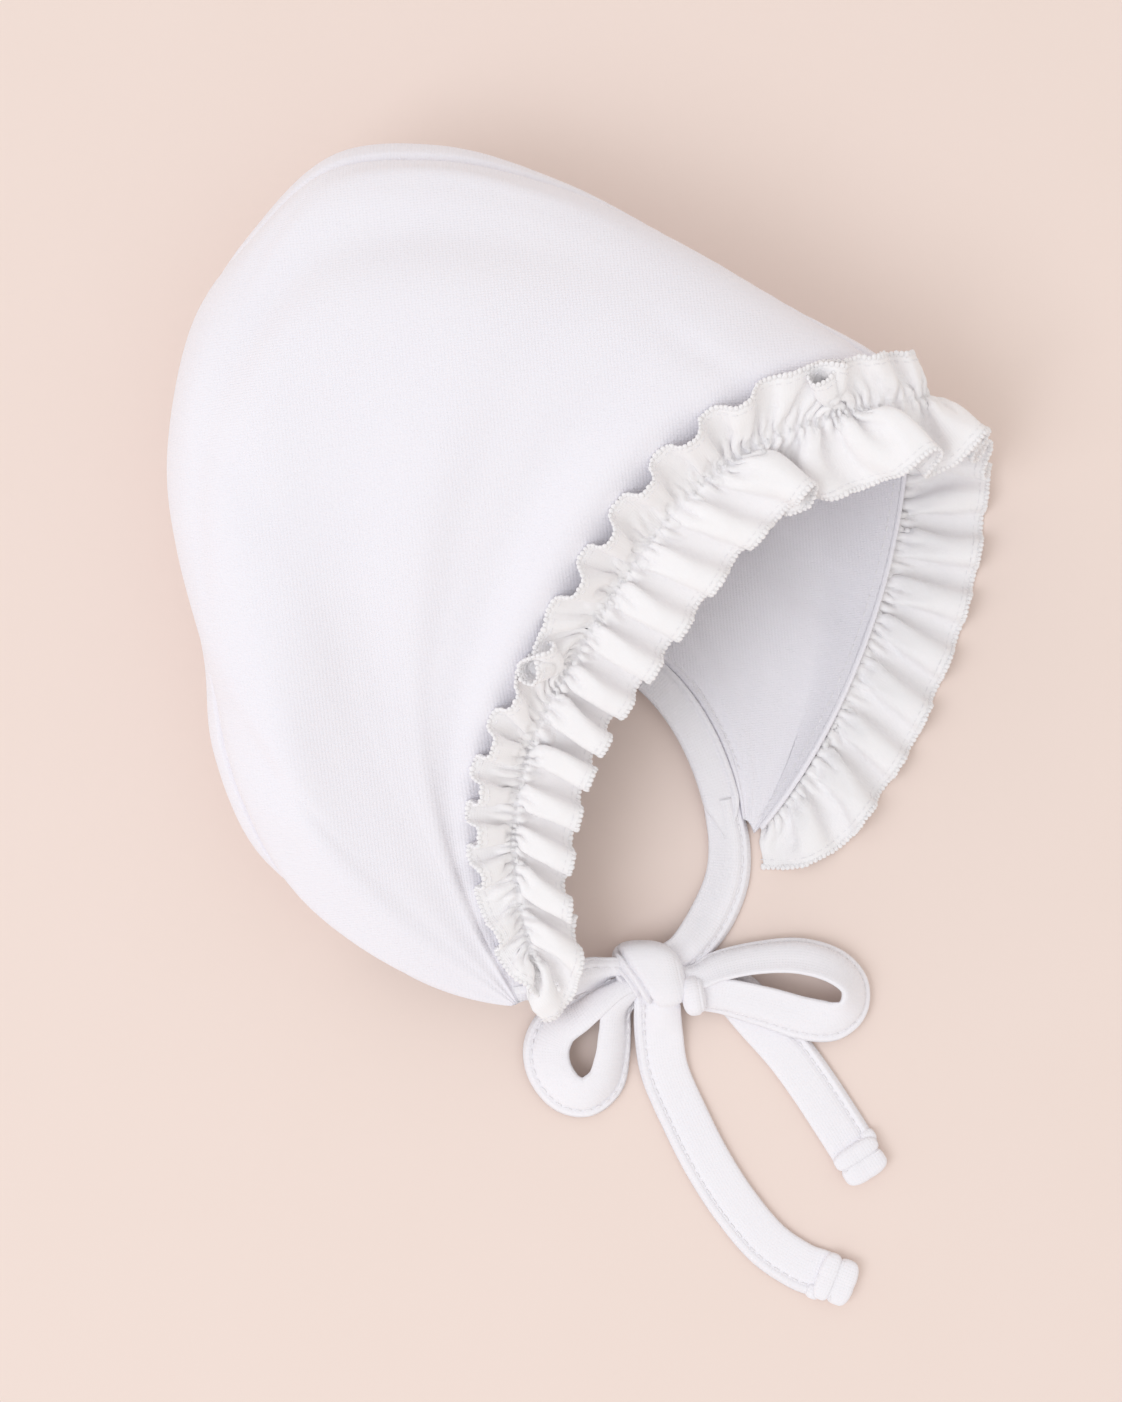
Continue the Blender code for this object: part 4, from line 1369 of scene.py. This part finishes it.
@dataclass
class Ruffle:
    """Strip of thin jersey gathered along its middle round the face edge.

    The strip keeps its cut length.  It starts as fine puckers at the gathering stitches
    and settles into the folds and lobes of its free edges.  Rows run from the front edge
    over the gathering line, the seam, to the back edge.
    """

    form: CapForm
    front: float = 19.5 * MM
    back: float = 12.5 * MM
    cloth: float = 0.60 * MM
    solid_cloth: float = 1.2 * MM
    cut: tuple[float, float] = (0.032, 0.570)
    back_limit: float = 0.045
    flat_from: float = 0.55
    columns: int = 601
    front_rows: int = 13
    back_rows: int = 8
    steps: int = 60
    pucker_columns: float = 4.2
    pucker_drift: float = 1.2
    bunching: float = 0.30
    lobe: float = 23.5 * MM
    lobe_height: float = 2.6 * MM
    fold: float = 11.5 * MM
    fold_height: float = 1.9 * MM
    lean_over: float = 1.2 * MM
    far_share: float = 0.45
    crimp: float = 0.50 * MM
    crimp_pitch: float = 2.1 * MM
    crimp_reach: float = 3.4 * MM
    uneven: float = 0.35
    bead_out: float = 0.10 * MM
    stitch_inset: float = 1.7 * MM
    fine_columns: int = 1121
    fine_rows: int = 39

    def drift(self, columns: int, seed: int) -> Array:
        """Make a smooth unevenness along the strip.

        Args:
            columns: over how many columns it changes.
            seed: fixes it.

        Returns:
            A value from -1 to 1 at each column.
        """
        knots = np.arange(0, self.columns + 2 * columns, columns)
        chance = np.random.default_rng(seed).uniform(-1, 1, len(knots))
        return blend(np.column_stack((knots, chance)), np.arange(self.columns))[0]

    def stations(self) -> tuple[Array, Array]:
        """Spread the columns along the face edge, bunched unevenly.

        Returns:
            The angle of each column and its distance along the edge.
        """
        form = self.form
        fine = form.edge_angles(0.0, form.near_end, math.pi - form.ruffle_end, 4001)
        length = run_length(form.middle(np.zeros_like(fine), fine))
        spacing = 1 + self.bunching * self.drift(16, 3)
        spot = np.concatenate(((0,), np.cumsum((spacing[1:] + spacing[:-1]) / 2)))
        along = spot / spot[-1] * length[-1]
        return np.interp(along, length, fine), along

    def puckers(self, base: Array) -> Array:
        """Return the puckers' height at the gathering line, which takes up the cut length.

        Args:
            base: the gathering line.

        Returns:
            Height off the line at each column.
        """
        spread = self.pucker_columns + self.pucker_drift * self.drift(3, 8)
        wave = np.sin(np.cumsum(2 * math.pi / spread))
        pitch = np.linalg.norm(np.diff(base, axis=0), axis=1)
        low, high = 0.0, 3 * MM
        for _ in range(40):
            height = (low + high) / 2
            short = np.sqrt(pitch ** 2 + (height * np.diff(wave)) ** 2).sum() < self.cut[1]
            low, high = (height, high) if short else (low, height)
        return 0.9 * height * wave

    def surface(self) -> tuple[Array, Array]:
        """Lay the strip along the face edge and let it settle.

        Returns:
            The middle of its cloth, front edge first, and its map in metres.
        """
        form = self.form
        angle, along = self.stations()
        zero = np.zeros_like(angle)
        edge = form.middle(zero, angle)
        outward = form.plain_normal(zero + RIM_STEP, angle)
        behind = edge - form.middle(zero + form.edge_step, angle)
        front, back, waves, slope = blend(RUFFLE, angle / math.pi)
        level = unit(unit(behind) * LEVEL)
        lean = level * np.sqrt(1 - slope ** 2)[:, None] + UP * slope[:, None]
        crossways = unit(outward - lean * np.sum(outward * lean, 1)[:, None])
        tangent = unit(np.gradient(edge, axis=0))
        stand = form.cloth / 2 + form.gap * 2 + self.solid_cloth / 2
        base = edge + outward * stand
        pucker = self.puckers(base)
        lobes = np.sin(2 * math.pi * along / self.lobe + 1.3 * self.drift(40, 21))
        lobes = lobes * (0.75 + 0.25 * self.drift(30, 22))
        folds = np.sin(2 * math.pi * along / self.fold + 1.6 * self.drift(22, 23))
        folds = folds * (0.6 + 0.4 * self.drift(18, 24))
        flat = angle > math.pi * self.flat_from
        quiet = np.where(flat, self.far_share, 1.0)
        out = np.linspace(1, 0, self.front_rows + 1)[:-1]
        backwards = np.linspace(0, 1, self.back_rows + 1)[1:]
        pace = np.linalg.norm(behind, axis=1) / form.edge_step
        rows, floor, over = [], [], []
        for reach in out:
            high = lobes * self.lobe_height + folds * self.fold_height
            high = high * reach * quiet * np.clip(waves, 0.35, 1)
            aside = self.lean_over * reach * np.cos(2 * math.pi * along / self.lobe) * quiet
            rows.append(base + lean * (self.front * front * reach)[:, None]
                        + crossways * (pucker + high)[:, None] + tangent * aside[:, None])
        rows.append(base + crossways * pucker[:, None])
        for reach in backwards:
            place = np.minimum(self.back * back / pace, self.back_limit) * reach
            facing, spot = form.plain_normal(place, angle), form.point(place, angle)
            high = np.maximum(-self.lobe_height * lobes + self.fold_height * folds, 0) * reach
            high = np.where(flat, 0, np.maximum(pucker + np.max(pucker), 0) + high)
            rows.append(spot + facing * (stand + high)[:, None])
            floor.append(spot)
            over.append(facing)
        points, floor, over = np.array(rows), np.array(floor), np.array(over)
        seam = self.front_rows
        weight = np.ones(points.shape[:2])
        weight[seam] = 0
        weight[seam - 1] = weight[seam + 1] = 0.15
        weight[seam + 1:, flat] = 0
        out, backwards = out[:, None], backwards[:, None]
        width = np.concatenate((out * self.front * front, zero[None], -backwards * self.back * back))

        def hold(cloth: Array) -> None:
            """Keep the cloth off the panel and the floor, and near the place it is sewn in.

            Args:
                cloth: the strip's points, which are moved.
            """
            lying = cloth[seam + 1:]
            height = np.sum((lying - floor) * over, -1)
            push = np.maximum(form.cloth / 2 + 0.45 * MM - height, 0)
            push -= 0.5 * np.maximum(height - stand - (0.9 + 3.0 * backwards) * MM, 0)
            lying += np.where(flat, 0, push)[..., None] * over
            hanging = cloth[:seam]
            height = np.sum((hanging - base) * crossways, -1)
            push = np.maximum(-(0.9 + 3.5 * out) * MM - height, 0)
            push -= 0.5 * np.maximum(height - (0.9 + 4.0 * out) * MM, 0)
            hanging += push[..., None] * crossways
            cloth[..., 2] = np.maximum(cloth[..., 2], 0.75 * self.cloth)

        hold(points)
        step = self.cut[1] / (self.columns - 1)
        strip = Strip(points, weight, step, np.abs(np.diff(width, axis=0)), hold)
        sheet = refine(refine(strip.settle(seam, self.steps), self.fine_columns, 1), self.fine_rows, 0)
        return self.crimped(sheet, base, crossways)

    def crimped(self, sheet: Array, base: Array, crossways: Array) -> tuple[Array, Array]:
        """Press the fine crimps and the stitched channel in beside the gathering line.

        Args:
            sheet: the settled strip.
            base: the gathering line.
            crossways: the way the strip faces at each point of the line.

        Returns:
            The strip and its map in metres.
        """
        across = np.linspace(self.front, -self.back, self.fine_rows)
        spot = run_length(refine(base, self.fine_columns, 0))
        ridge = np.sin(uneven_turns(spot, self.crimp_pitch, self.uneven, 17))
        ridge = ridge * (0.7 + 0.3 * np.sin(spot / (7 * MM)))
        die_out = np.exp(-np.abs(across) / self.crimp_reach)
        die_out = die_out * (1 - 0.7 * np.exp(-(across / (0.8 * MM)) ** 2))
        crimp = self.crimp * die_out[:, None] * ridge[None, :]
        channel = self.crimp * 1.1 * np.exp(-(across / (0.9 * MM)) ** 2)
        facing = self.facing(sheet)
        side = np.sign(np.sum(facing * refine(crossways, self.fine_columns, 0), -1))
        sheet = sheet + facing * (crimp - channel[:, None] * side)[..., None]
        along = np.linspace(0, self.cut[1], self.fine_columns)
        return sheet, np.stack(np.broadcast_arrays(across[:, None], along), -1)

    @staticmethod
    def facing(sheet: Array) -> Array:
        """Return the way a grid of cloth faces at each point."""
        return unit(np.cross(np.gradient(sheet, axis=1), np.gradient(sheet, axis=0)))

    def build(self) -> None:
        """Build the strip, the beads of its looped edges and the stitches inside them."""
        sheet, knit_map = self.surface()
        normal = self.facing(sheet)
        half = self.cloth / 2
        upper, under = sheet + normal * half, sheet - normal * half
        strip = make_plate("ruffle", upper, under, knit_map, Finish.FRILL)
        dress(strip, Finish.FRILL, "ruffle")
        picots, stitches = [], []
        for edge_row, step in ((0, 1), (-1, -1)):
            out = unit(sheet[edge_row] - sheet[edge_row + step])
            picots.append((sheet[edge_row] + out * self.bead_out, normal[edge_row]))
            inner = sheet[edge_row] - out * self.stitch_inset
            for side in (1, -1):
                stitches.append((inner + normal[edge_row] * side * half, normal[edge_row]))
        dress(EDGE_PICOT.sew("ruffle_picot", picots), Finish.FRILL)
        dress(FINE_STITCH.sew("ruffle_stitches", stitches), Finish.THREAD)


@dataclass
class Band:
    """Folded jersey strip along a smooth path, with one stitched edge."""

    name: str
    points: Array
    bank: Array
    breadth: Array
    width: float = TIE_WIDTH
    thickness: float = 1.8 * MM
    stitched: int = 1
    stations: int = 160
    fine: int = 800
    least: float = 0.2 * MM
    crease: float = 0.9 * MM
    crease_share: float = 0.12
    section: tuple[tuple[float, float], ...] = TIE_SECTION

    def frames(self) -> tuple[Array, Array, Array, Array]:
        """Draw a smooth line through the band's points.

        Returns:
            Its middle line, its way across, its way up and its breadth.
        """
        spots = np.arange(len(self.points))
        table = np.column_stack((spots, self.points, self.bank, self.breadth))
        fine = np.array(blend(table, np.linspace(0, spots[-1], self.fine))).T
        shares = even_shares(fine[:, :3], self.stations)
        rows = np.array([np.interp(shares, np.arange(self.fine), column) for column in fine.T]).T
        middle = rows[:, :3]
        along = unit(np.gradient(middle, axis=0))
        side = unit(np.column_stack((along[:, 1], -along[:, 0], np.zeros(self.stations))))
        lean = np.radians(rows[:, 3])[:, None]
        across = side * np.cos(lean) + UP * np.sin(lean)
        across = unit(across - along * np.sum(across * along, 1)[:, None])
        return middle, across, np.cross(across, along), rows[:, 4]

    def pinch(self, x: Array, breadth: Array) -> Array:
        """Find how far the cloth rises across a drawn-in band, which keeps its width.

        Args:
            x: shares of the breadth.
            breadth: the band's breadth at each station.

        Returns:
            The rise at each station and share.
        """
        spare = np.sqrt(np.maximum(1 / np.clip(breadth, 0.3, 1) - 1, 0))
        high = breadth * self.width / math.pi * spare
        wave = np.cos(2 * math.pi * (x[None, :] + self.crease_share))
        return np.minimum(high, self.crease)[:, None] * wave

    def surface_line(self, share: float) -> tuple[Array, Array]:
        """Find a line along the upper face.

        Args:
            share: where it runs, as a share of the breadth.

        Returns:
            Its points and the way the cloth faces at each.
        """
        middle, across, up, breadth = self.frames()
        x = np.array([share])
        lift = self.pinch(x, breadth)[:, 0] + self.thickness / 2 * 0.52
        points = middle + across * (share * self.stitched * -1 * self.width * breadth)[:, None]
        return points + up * lift[:, None], up

    def build(self) -> None:
        """Build the band."""
        middle, across, up, breadth = self.frames()
        section = np.array(self.section)
        x = section[:, 0] * -self.stitched
        wide = x[None, :, None] * (self.width * breadth)[:, None, None] * across[:, None, :]
        lift = section[None, :, 1] * self.thickness / 2 + self.pinch(x, breadth)
        rings = middle[:, None, :] + wide + lift[..., None] * up[:, None, :]
        rings[..., 2] = np.maximum(rings[..., 2], self.least)
        around = around_section(section, self.width, self.thickness, self.thickness * 0.2)
        band = make_tube(self.name, rings, run_length(middle), around, Finish.TAPE)
        dress(band, Finish.TAPE, self.name)


@dataclass
class NeckBinding:
    """Folded band along the neck edge, with a bead where it joins the panels."""

    form: CapForm
    width: float = 9.5 * MM
    thickness: float = 2.2 * MM
    end: float = 0.006
    overlap: float = 0.4 * MM
    merge: int = 16
    end_slim: float = 0.80
    hang: float = 104.0
    tie_share: float = 0.95
    stations: int = 320

    def frames(self) -> tuple[Array, Array, Array]:
        """Draw the band along the neck edge.

        Returns:
            Its middle line, its way across and its way up.
        """
        form = self.form
        angle = form.edge_angles(1.0, form.near_end, math.pi - self.end, self.stations)
        edge = form.middle(np.ones_like(angle), angle)
        across, down = blend(BINDING_LEAN, np.linspace(0, 1, self.stations))
        along = unit(np.gradient(edge, axis=0))
        inwards = unit(np.column_stack((along[:, 1], -along[:, 0], np.zeros(self.stations))))
        lean = inwards * across[:, None] - UP * down[:, None]
        lean = unit(lean - along * np.sum(lean * along, 1)[:, None])
        up = np.cross(lean, along)
        up = up * np.sign(np.sum(up * UP, 1) + LEAST)[:, None]
        outward = form.plain_normal(np.full_like(angle, 1 - RIM_STEP), angle)
        facing = np.abs(np.sum(lean * outward, 1))
        middle = edge + lean * (form.cloth / 2 * facing + self.width / 2 - self.overlap)[:, None]
        middle[:, 2] = np.maximum(middle[:, 2], self.thickness / 2 + form.gap)
        return middle, lean, up

    def end_rows(self) -> tuple[Array, Array]:
        """Find where the ties start, a little inside the near and the far end.

        Returns:
            Each start's point, with the tie's bank and breadth there.
        """
        middle = self.frames()[0]
        breadth = self.tie_share * self.width / TIE_WIDTH
        near = np.array((*middle[self.merge // 2], -self.hang, breadth))
        far = np.array((*(middle[-self.merge] - UP * 0.25 * MM), 0.0, breadth))
        return near, far

    def build(self) -> None:
        """Build the binding."""
        form = self.form
        middle, lean, up = self.frames()
        section = np.array(BINDING_SECTION)
        rings = (middle[:, None, :] + section[None, :, 0, None] * self.width * lean[:, None, :]
                 + section[None, :, 1, None] * self.thickness / 2 * up[:, None, :])
        to_end = (np.arange(self.stations) - self.stations + self.merge) / self.merge
        slim = 1 - self.end_slim * smooth(to_end)
        rings = middle[:, None, :] + (rings - middle[:, None, :]) * slim[:, None, None]
        rings[..., 2] = np.maximum(rings[..., 2], form.gap)
        around = around_section(section, self.width, self.thickness, self.thickness / 2)
        binding = make_tube("neck_binding", rings, run_length(middle), around, Finish.TAPE)
        dress(binding, Finish.TAPE, "neck_binding")


@dataclass
class Bow:
    """Ties from the cap's corners, tied in a bow with two loops and two tails."""

    form: CapForm
    binding_ends: tuple[Array, Array]
    hidden_share: float = 0.40
    turn: float = PICTURE_TURN
    width: float = TIE_WIDTH
    knot_across: float = 17.8 * MM
    knot_along: float = 16.8 * MM
    knot_height: float = 12.5 * MM
    left_reach: float = 36.0 * MM
    right_reach: float = 56.0 * MM
    long_reach: float = 90.0 * MM
    short_reach: float = 74.0 * MM
    fold_length: float = 9.5 * MM
    fold_height: float = 4.4 * MM
    stitch_share: float = -0.322
    knot_spot: tuple[float, float] = (-0.5016, -0.4668)
    knot_shift: tuple[float, float, float] = (-1.2 * MM, -0.5 * MM, 0.0)
    knot_fullness: float = 3.6
    knot_lean: float = -0.26
    lobe_shift: tuple[float, float, float] = (9.8 * MM, -5.9 * MM, 0.6 * MM)
    lobe_halves: tuple[float, float, float] = (3.0 * MM, 5.2 * MM, 4.6 * MM)
    lobe_fullness: float = 2.8
    lobe_turn: float = math.radians(10)
    puff_halves: tuple[float, float, float] = (1.9 * MM, 1.9 * MM, 1.5 * MM)
    tack_points: int = 24
    tie_stations: int = 80

    @property
    def knot(self) -> Array:
        """Return the middle of the knot."""
        x, y = self.knot_spot
        height = self.knot_height / 2 + self.form.gap
        return np.array((x * self.form.height, y * self.form.depth, height))

    @property
    def axes(self) -> Array:
        """Return the bow's directions: across, along and up, as rows."""
        cosine, sine = math.cos(self.turn), math.sin(self.turn)
        return np.array(((cosine, sine, 0.0), (-sine, cosine, 0.0), (0.0, 0.0, 1.0)))

    def points(self, table: Sequence[Sequence[float]], reach: float) -> Array:
        """Turn a band's table into points.

        Args:
            table: its rows across and along the bow from the knot.
            reach: the length that they are shares of.

        Returns:
            The points in the cap's frame.
        """
        rows = np.array(table, float)
        plan = self.knot[:2] + rows[:, :2] * reach @ self.axes[:2, :2]
        return np.column_stack((plan, rows[:, 2] * self.width))

    def into_knot(self, row: Array) -> Array:
        """Hide a band's end in the knot.

        Args:
            row: the end's point, bank and breadth.

        Returns:
            The same, moved well inside the knot.
        """
        inner = row.copy()
        inner[:3] = self.knot + (row[:3] - self.knot) * self.hidden_share
        inner[4] = row[4] * 0.9
        return inner

    def bow_band(self, name: str, table: Sequence[Sequence[float]], reach: float,
                 stitched: int, loop: bool) -> Band:
        """Lay one band of the bow, which starts inside the knot and, as a loop, ends there.

        Args:
            name: the piece's name.
            table: its points.
            reach: its reach from the knot.
            stitched: 1 or -1, the side of its stitched edge.
            loop: whether it returns to the knot.

        Returns:
            The band.
        """
        table = np.array(table, float)
        rows = np.column_stack((self.points(table, reach), table[:, 3:]))
        rows = np.concatenate((self.into_knot(rows[0])[None], rows))
        if loop:
            rows = np.concatenate((rows, self.into_knot(rows[-1])[None]))
        else:
            last = rows[-1].copy()
            last[:2] += unit(rows[-1, :2] - rows[-2, :2]) * self.fold_length * 0.3
            rows = np.concatenate((rows, last[None]))
        return Band(name, rows[:, :3], rows[:, 3], rows[:, 4], self.width, stitched=stitched)

    def cap_band(self, name: str, table: Sequence[Sequence[float]], start: Array) -> Band:
        """Lay a tie from a corner of the cap into the knot.

        Args:
            name: the piece's name.
            table: its points.
            start: a point inside the binding's end, where the binding runs into the tie.

        Returns:
            The band.
        """
        table = np.array(table, float)
        points = table[:, :3] * np.array((self.form.height, self.form.depth, self.width))
        rows = np.column_stack((points, table[:, 3:]))
        rows = np.concatenate((start[None], rows, self.into_knot(rows[-1])[None]))
        return Band(name, rows[:, :3], rows[:, 3], rows[:, 4], self.width, stitched=-1,
                    stations=self.tie_stations)

    def build_knot(self) -> None:
        """Build the wrapped middle with the edges of its layers, and the lobe beside it."""
        def wrapped(run: Array, turn: Array) -> Array:
            """Return the share of the radius, stepped down at each layer of the wrap."""
            across = np.cos(turn)
            upper = smooth((np.sin(turn) + 0.45) / 0.9)
            drop = np.zeros_like(run)
            for start, lean, bend, step in KNOT_WRAPS:
                past = start - lean * across + bend * across ** 2 - run
                drop += step * smooth(past / 0.08 + 0.5)
                drop += 1.2 * step * np.exp(-((past - 0.03) / 0.075) ** 2)
                drop -= 0.35 * step * np.exp(-((past - 0.15) / 0.080) ** 2)
            hem = 0.03 * np.exp(-((run - 0.80 - 0.05 * across) / 0.035) ** 2)
            return 1 - (drop + hem) * upper

        def creased(run: Array, _: Array) -> Array:
            """Return the share of the lobe's radius, with one crease round it."""
            return 1 - 0.06 * np.exp(-((run - 0.5) / 0.12) ** 2)

        halves = (self.knot_across / 2, self.knot_along / 2, self.knot_height / 2)
        main = make_lump("bow_knot", self.knot + self.axes.T @ self.knot_shift, self.axes, halves,
                         self.knot_fullness, wrapped, Finish.TAPE, (120, 90), self.knot_lean)
        turned = Matrix.Rotation(self.lobe_turn, 3, "Z")
        lobe_axes = np.array([list(turned @ Vector(axis)) for axis in self.axes])
        lobe = make_lump("knot_lobe", self.knot + self.axes.T @ self.lobe_shift, lobe_axes,
                         self.lobe_halves, self.lobe_fullness, creased, Finish.TAPE, (48, 28))
        dress(join([main, lobe], "bow_knot"), Finish.TAPE, "bow_knot")

    def build_tail_end(self, name: str, table: Sequence[Sequence[float]], reach: float,
                       puff_side: int) -> list[tuple[Array, Array]]:
        """Build a tail end turned back on itself in two rolls.

        Args:
            name: the piece's name.
            table: the tail's table.
            reach: the tail's reach.
            puff_side: side on which a corner stands out.

        Returns:
            The lines of its tacking stitches.
        """
        def pinched(run: Array, turn: Array) -> Array:
            """Return the share of a roll's radius, pinched across its upper middle."""
            return 1 - 0.05 * np.exp(-(run / 0.10) ** 2) * (np.sin(turn) > 0)

        points = self.points(table, reach)
        along = unit((points[-1] - points[-2]) * LEVEL)
        side = np.array((along[1], -along[0], 0))
        axes = np.array((side, along, UP))
        half = self.fold_height / 2
        start = points[-1] * LEVEL + UP * (half + self.form.gap)
        lumps = []
        for k, (place, long_half, wide, high) in enumerate(TAIL_ROLLS):
            spot = start + along * self.fold_length * place
            halves = (self.width * wide, long_half, half * high)
            lumps.append(make_lump(f"{name}_{k}", spot, axes, halves, self.knot_fullness, pinched,
                                   Finish.TAPE, (40, 44)))
        corner = start + along * self.fold_length * 0.06
        corner = corner + side * puff_side * self.width * 0.42 - UP * half * 0.35
        lumps.append(make_lump(f"{name}_corner", corner, axes, self.puff_halves, 2.3, pinched,
                               Finish.TAPE, (24, 16)))
        dress(join(lumps, name), Finish.TAPE, name)
        across = np.linspace(-0.40, 0.40, self.tack_points)[:, None] * self.width * side
        seam = start + along * self.fold_length * 0.49 + across + UP * half * 0.78
        return [(seam, np.tile(UP, (self.tack_points, 1)))]

    def build(self) -> None:
        """Build the ties, the knot, the loops, the tails and their stitching."""
        bands = [
            self.cap_band("tie_upper", NEAR_TIE, self.binding_ends[0]),
            self.cap_band("tie_lower", FAR_TIE, self.binding_ends[1]),
            self.bow_band("bow_loop_left", LEFT_LOOP, self.left_reach, 1, True),
            self.bow_band("bow_loop_right", RIGHT_LOOP, self.right_reach, -1, True),
            self.bow_band("tie_tail_long", LONG_TAIL, self.long_reach, 1, False),
            self.bow_band("tie_tail_short", SHORT_TAIL, self.short_reach, -1, False),
        ]
        lines = []
        for band in bands:
            band.build()
            lines.append(band.surface_line(self.stitch_share))
        self.build_knot()
        lines += self.build_tail_end("tail_fold_long", LONG_TAIL, self.long_reach, 1)
        lines += self.build_tail_end("tail_fold_short", SHORT_TAIL, self.short_reach, -1)
        dress(TOPSTITCH.sew("tie_topstitch", lines), Finish.THREAD)


@dataclass
class Studio:
    """Plain pale floor, one large soft light, an even fill, and the camera straight above."""

    height: float = 0.700
    focal_pixels: float = 2730.0
    image: tuple[int, int] = (1122, 1402)
    sensor: float = 36.0
    look_at: tuple[float, float] = (-0.0499, -0.0319)
    turn: float = PICTURE_TURN
    floor_size: float = 6.0
    floor_colour: str = "#EEDDD5"
    floor_shade: str = "#ECDBD2"
    key_energy: float = 19.0
    key_size: float = 1.5
    key_distance: float = 2.7
    key_from: float = math.radians(208)
    key_above: float = math.radians(57)
    key_colour: tuple[float, float, float] = (0.98, 1.04, 1.12)
    fill_strength: float = 0.84
    fill_colour: tuple[float, float, float, float] = (1.0, 0.970, 0.945, 1.0)

    def floor_material(self) -> bpy.types.Material:
        """Make the floor: matt painted board with a faint mottle, nothing glossy.

        Returns:
            The material.
        """
        material, tree, shader = new_material("painted_board_matt")
        place = add_node(tree, "ShaderNodeTexCoord").outputs["Object"]
        mottle = add_node(tree, "ShaderNodeTexNoise", {"Vector": place},
                          {"Scale": 1 / (60 * MM), "Detail": 4.0})
        grain = add_node(tree, "ShaderNodeTexNoise", {"Vector": place},
                         {"Scale": 1 / (1.6 * MM), "Detail": 3.0})
        tone = shade_between(tree, mottle.outputs["Fac"], self.floor_colour, self.floor_shade)
        tree.links.new(tone, shader.inputs["Base Color"])
        bump = add_node(tree, "ShaderNodeBump", {"Height": grain.outputs["Fac"]},
                        {"Strength": 0.15, "Distance": 0.1 * MM})
        tree.links.new(bump.outputs["Normal"], shader.inputs["Normal"])
        set_values(shader, {"Roughness": 0.95, "Specular IOR Level": 0.15})
        return material

    def build_floor(self) -> None:
        """Set out the floor."""
        half = self.floor_size / 2
        mesh = bpy.data.meshes.new("floor")
        corners = [(-half, -half, 0), (half, -half, 0), (half, half, 0), (-half, half, 0)]
        mesh.from_pydata(corners, [], [(0, 1, 2, 3)])
        mesh.materials.append(self.floor_material())
        floor = add_object("floor", mesh)

    def build_camera(self) -> None:
        """Set up the camera, straight above."""
        camera = add_object("camera", bpy.data.cameras.new("camera"))
        camera.data.sensor_width = self.sensor
        camera.data.lens = self.focal_pixels / self.image[1] * self.sensor
        camera.location = (*self.look_at, self.height)
        camera.rotation_euler = (0, 0, self.turn)
        camera.data.clip_start, camera.data.clip_end = 0.01, 20.0
        bpy.context.scene.camera = camera

    def build_lights(self) -> None:
        """Set up the key light and the even fill."""
        key = add_object("key_light", bpy.data.lights.new("key_light", "AREA"))
        key.data.energy, key.data.size = self.key_energy, self.key_size
        key.data.color = self.key_colour
        way = self.turn + self.key_from
        level = math.cos(self.key_above)
        spot = Vector((math.cos(way) * level, math.sin(way) * level, math.sin(self.key_above)))
        key.location = Vector((*self.look_at, 0.0)) + spot * self.key_distance
        key.rotation_euler = spot.to_track_quat("Z", "Y").to_euler()
        world = bpy.data.worlds.new("studio")
        world.use_nodes = True
        set_values(world.node_tree.nodes["Background"],
                   {"Color": self.fill_colour, "Strength": self.fill_strength})
        bpy.context.scene.world = world

    def build(self) -> None:
        """Set up the floor, the camera and the lights."""
        self.build_floor()
        self.build_camera()
        self.build_lights()
        bpy.context.scene.view_settings.view_transform = "Standard"


def main() -> None:
    """Build the nightcap piece by piece in its setting."""
    logging.basicConfig(level=logging.INFO, format="%(message)s")
    Studio().build()
    form = CapForm()
    binding = NeckBinding(form)
    bow = Bow(form, binding.end_rows())
    for part in (Shell(form), FacePiping(form), Ruffle(form), binding, bow):
        LOG.info("%s", type(part).__name__)
        part.build()
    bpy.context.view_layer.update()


if __name__ == "__main__":
    main()
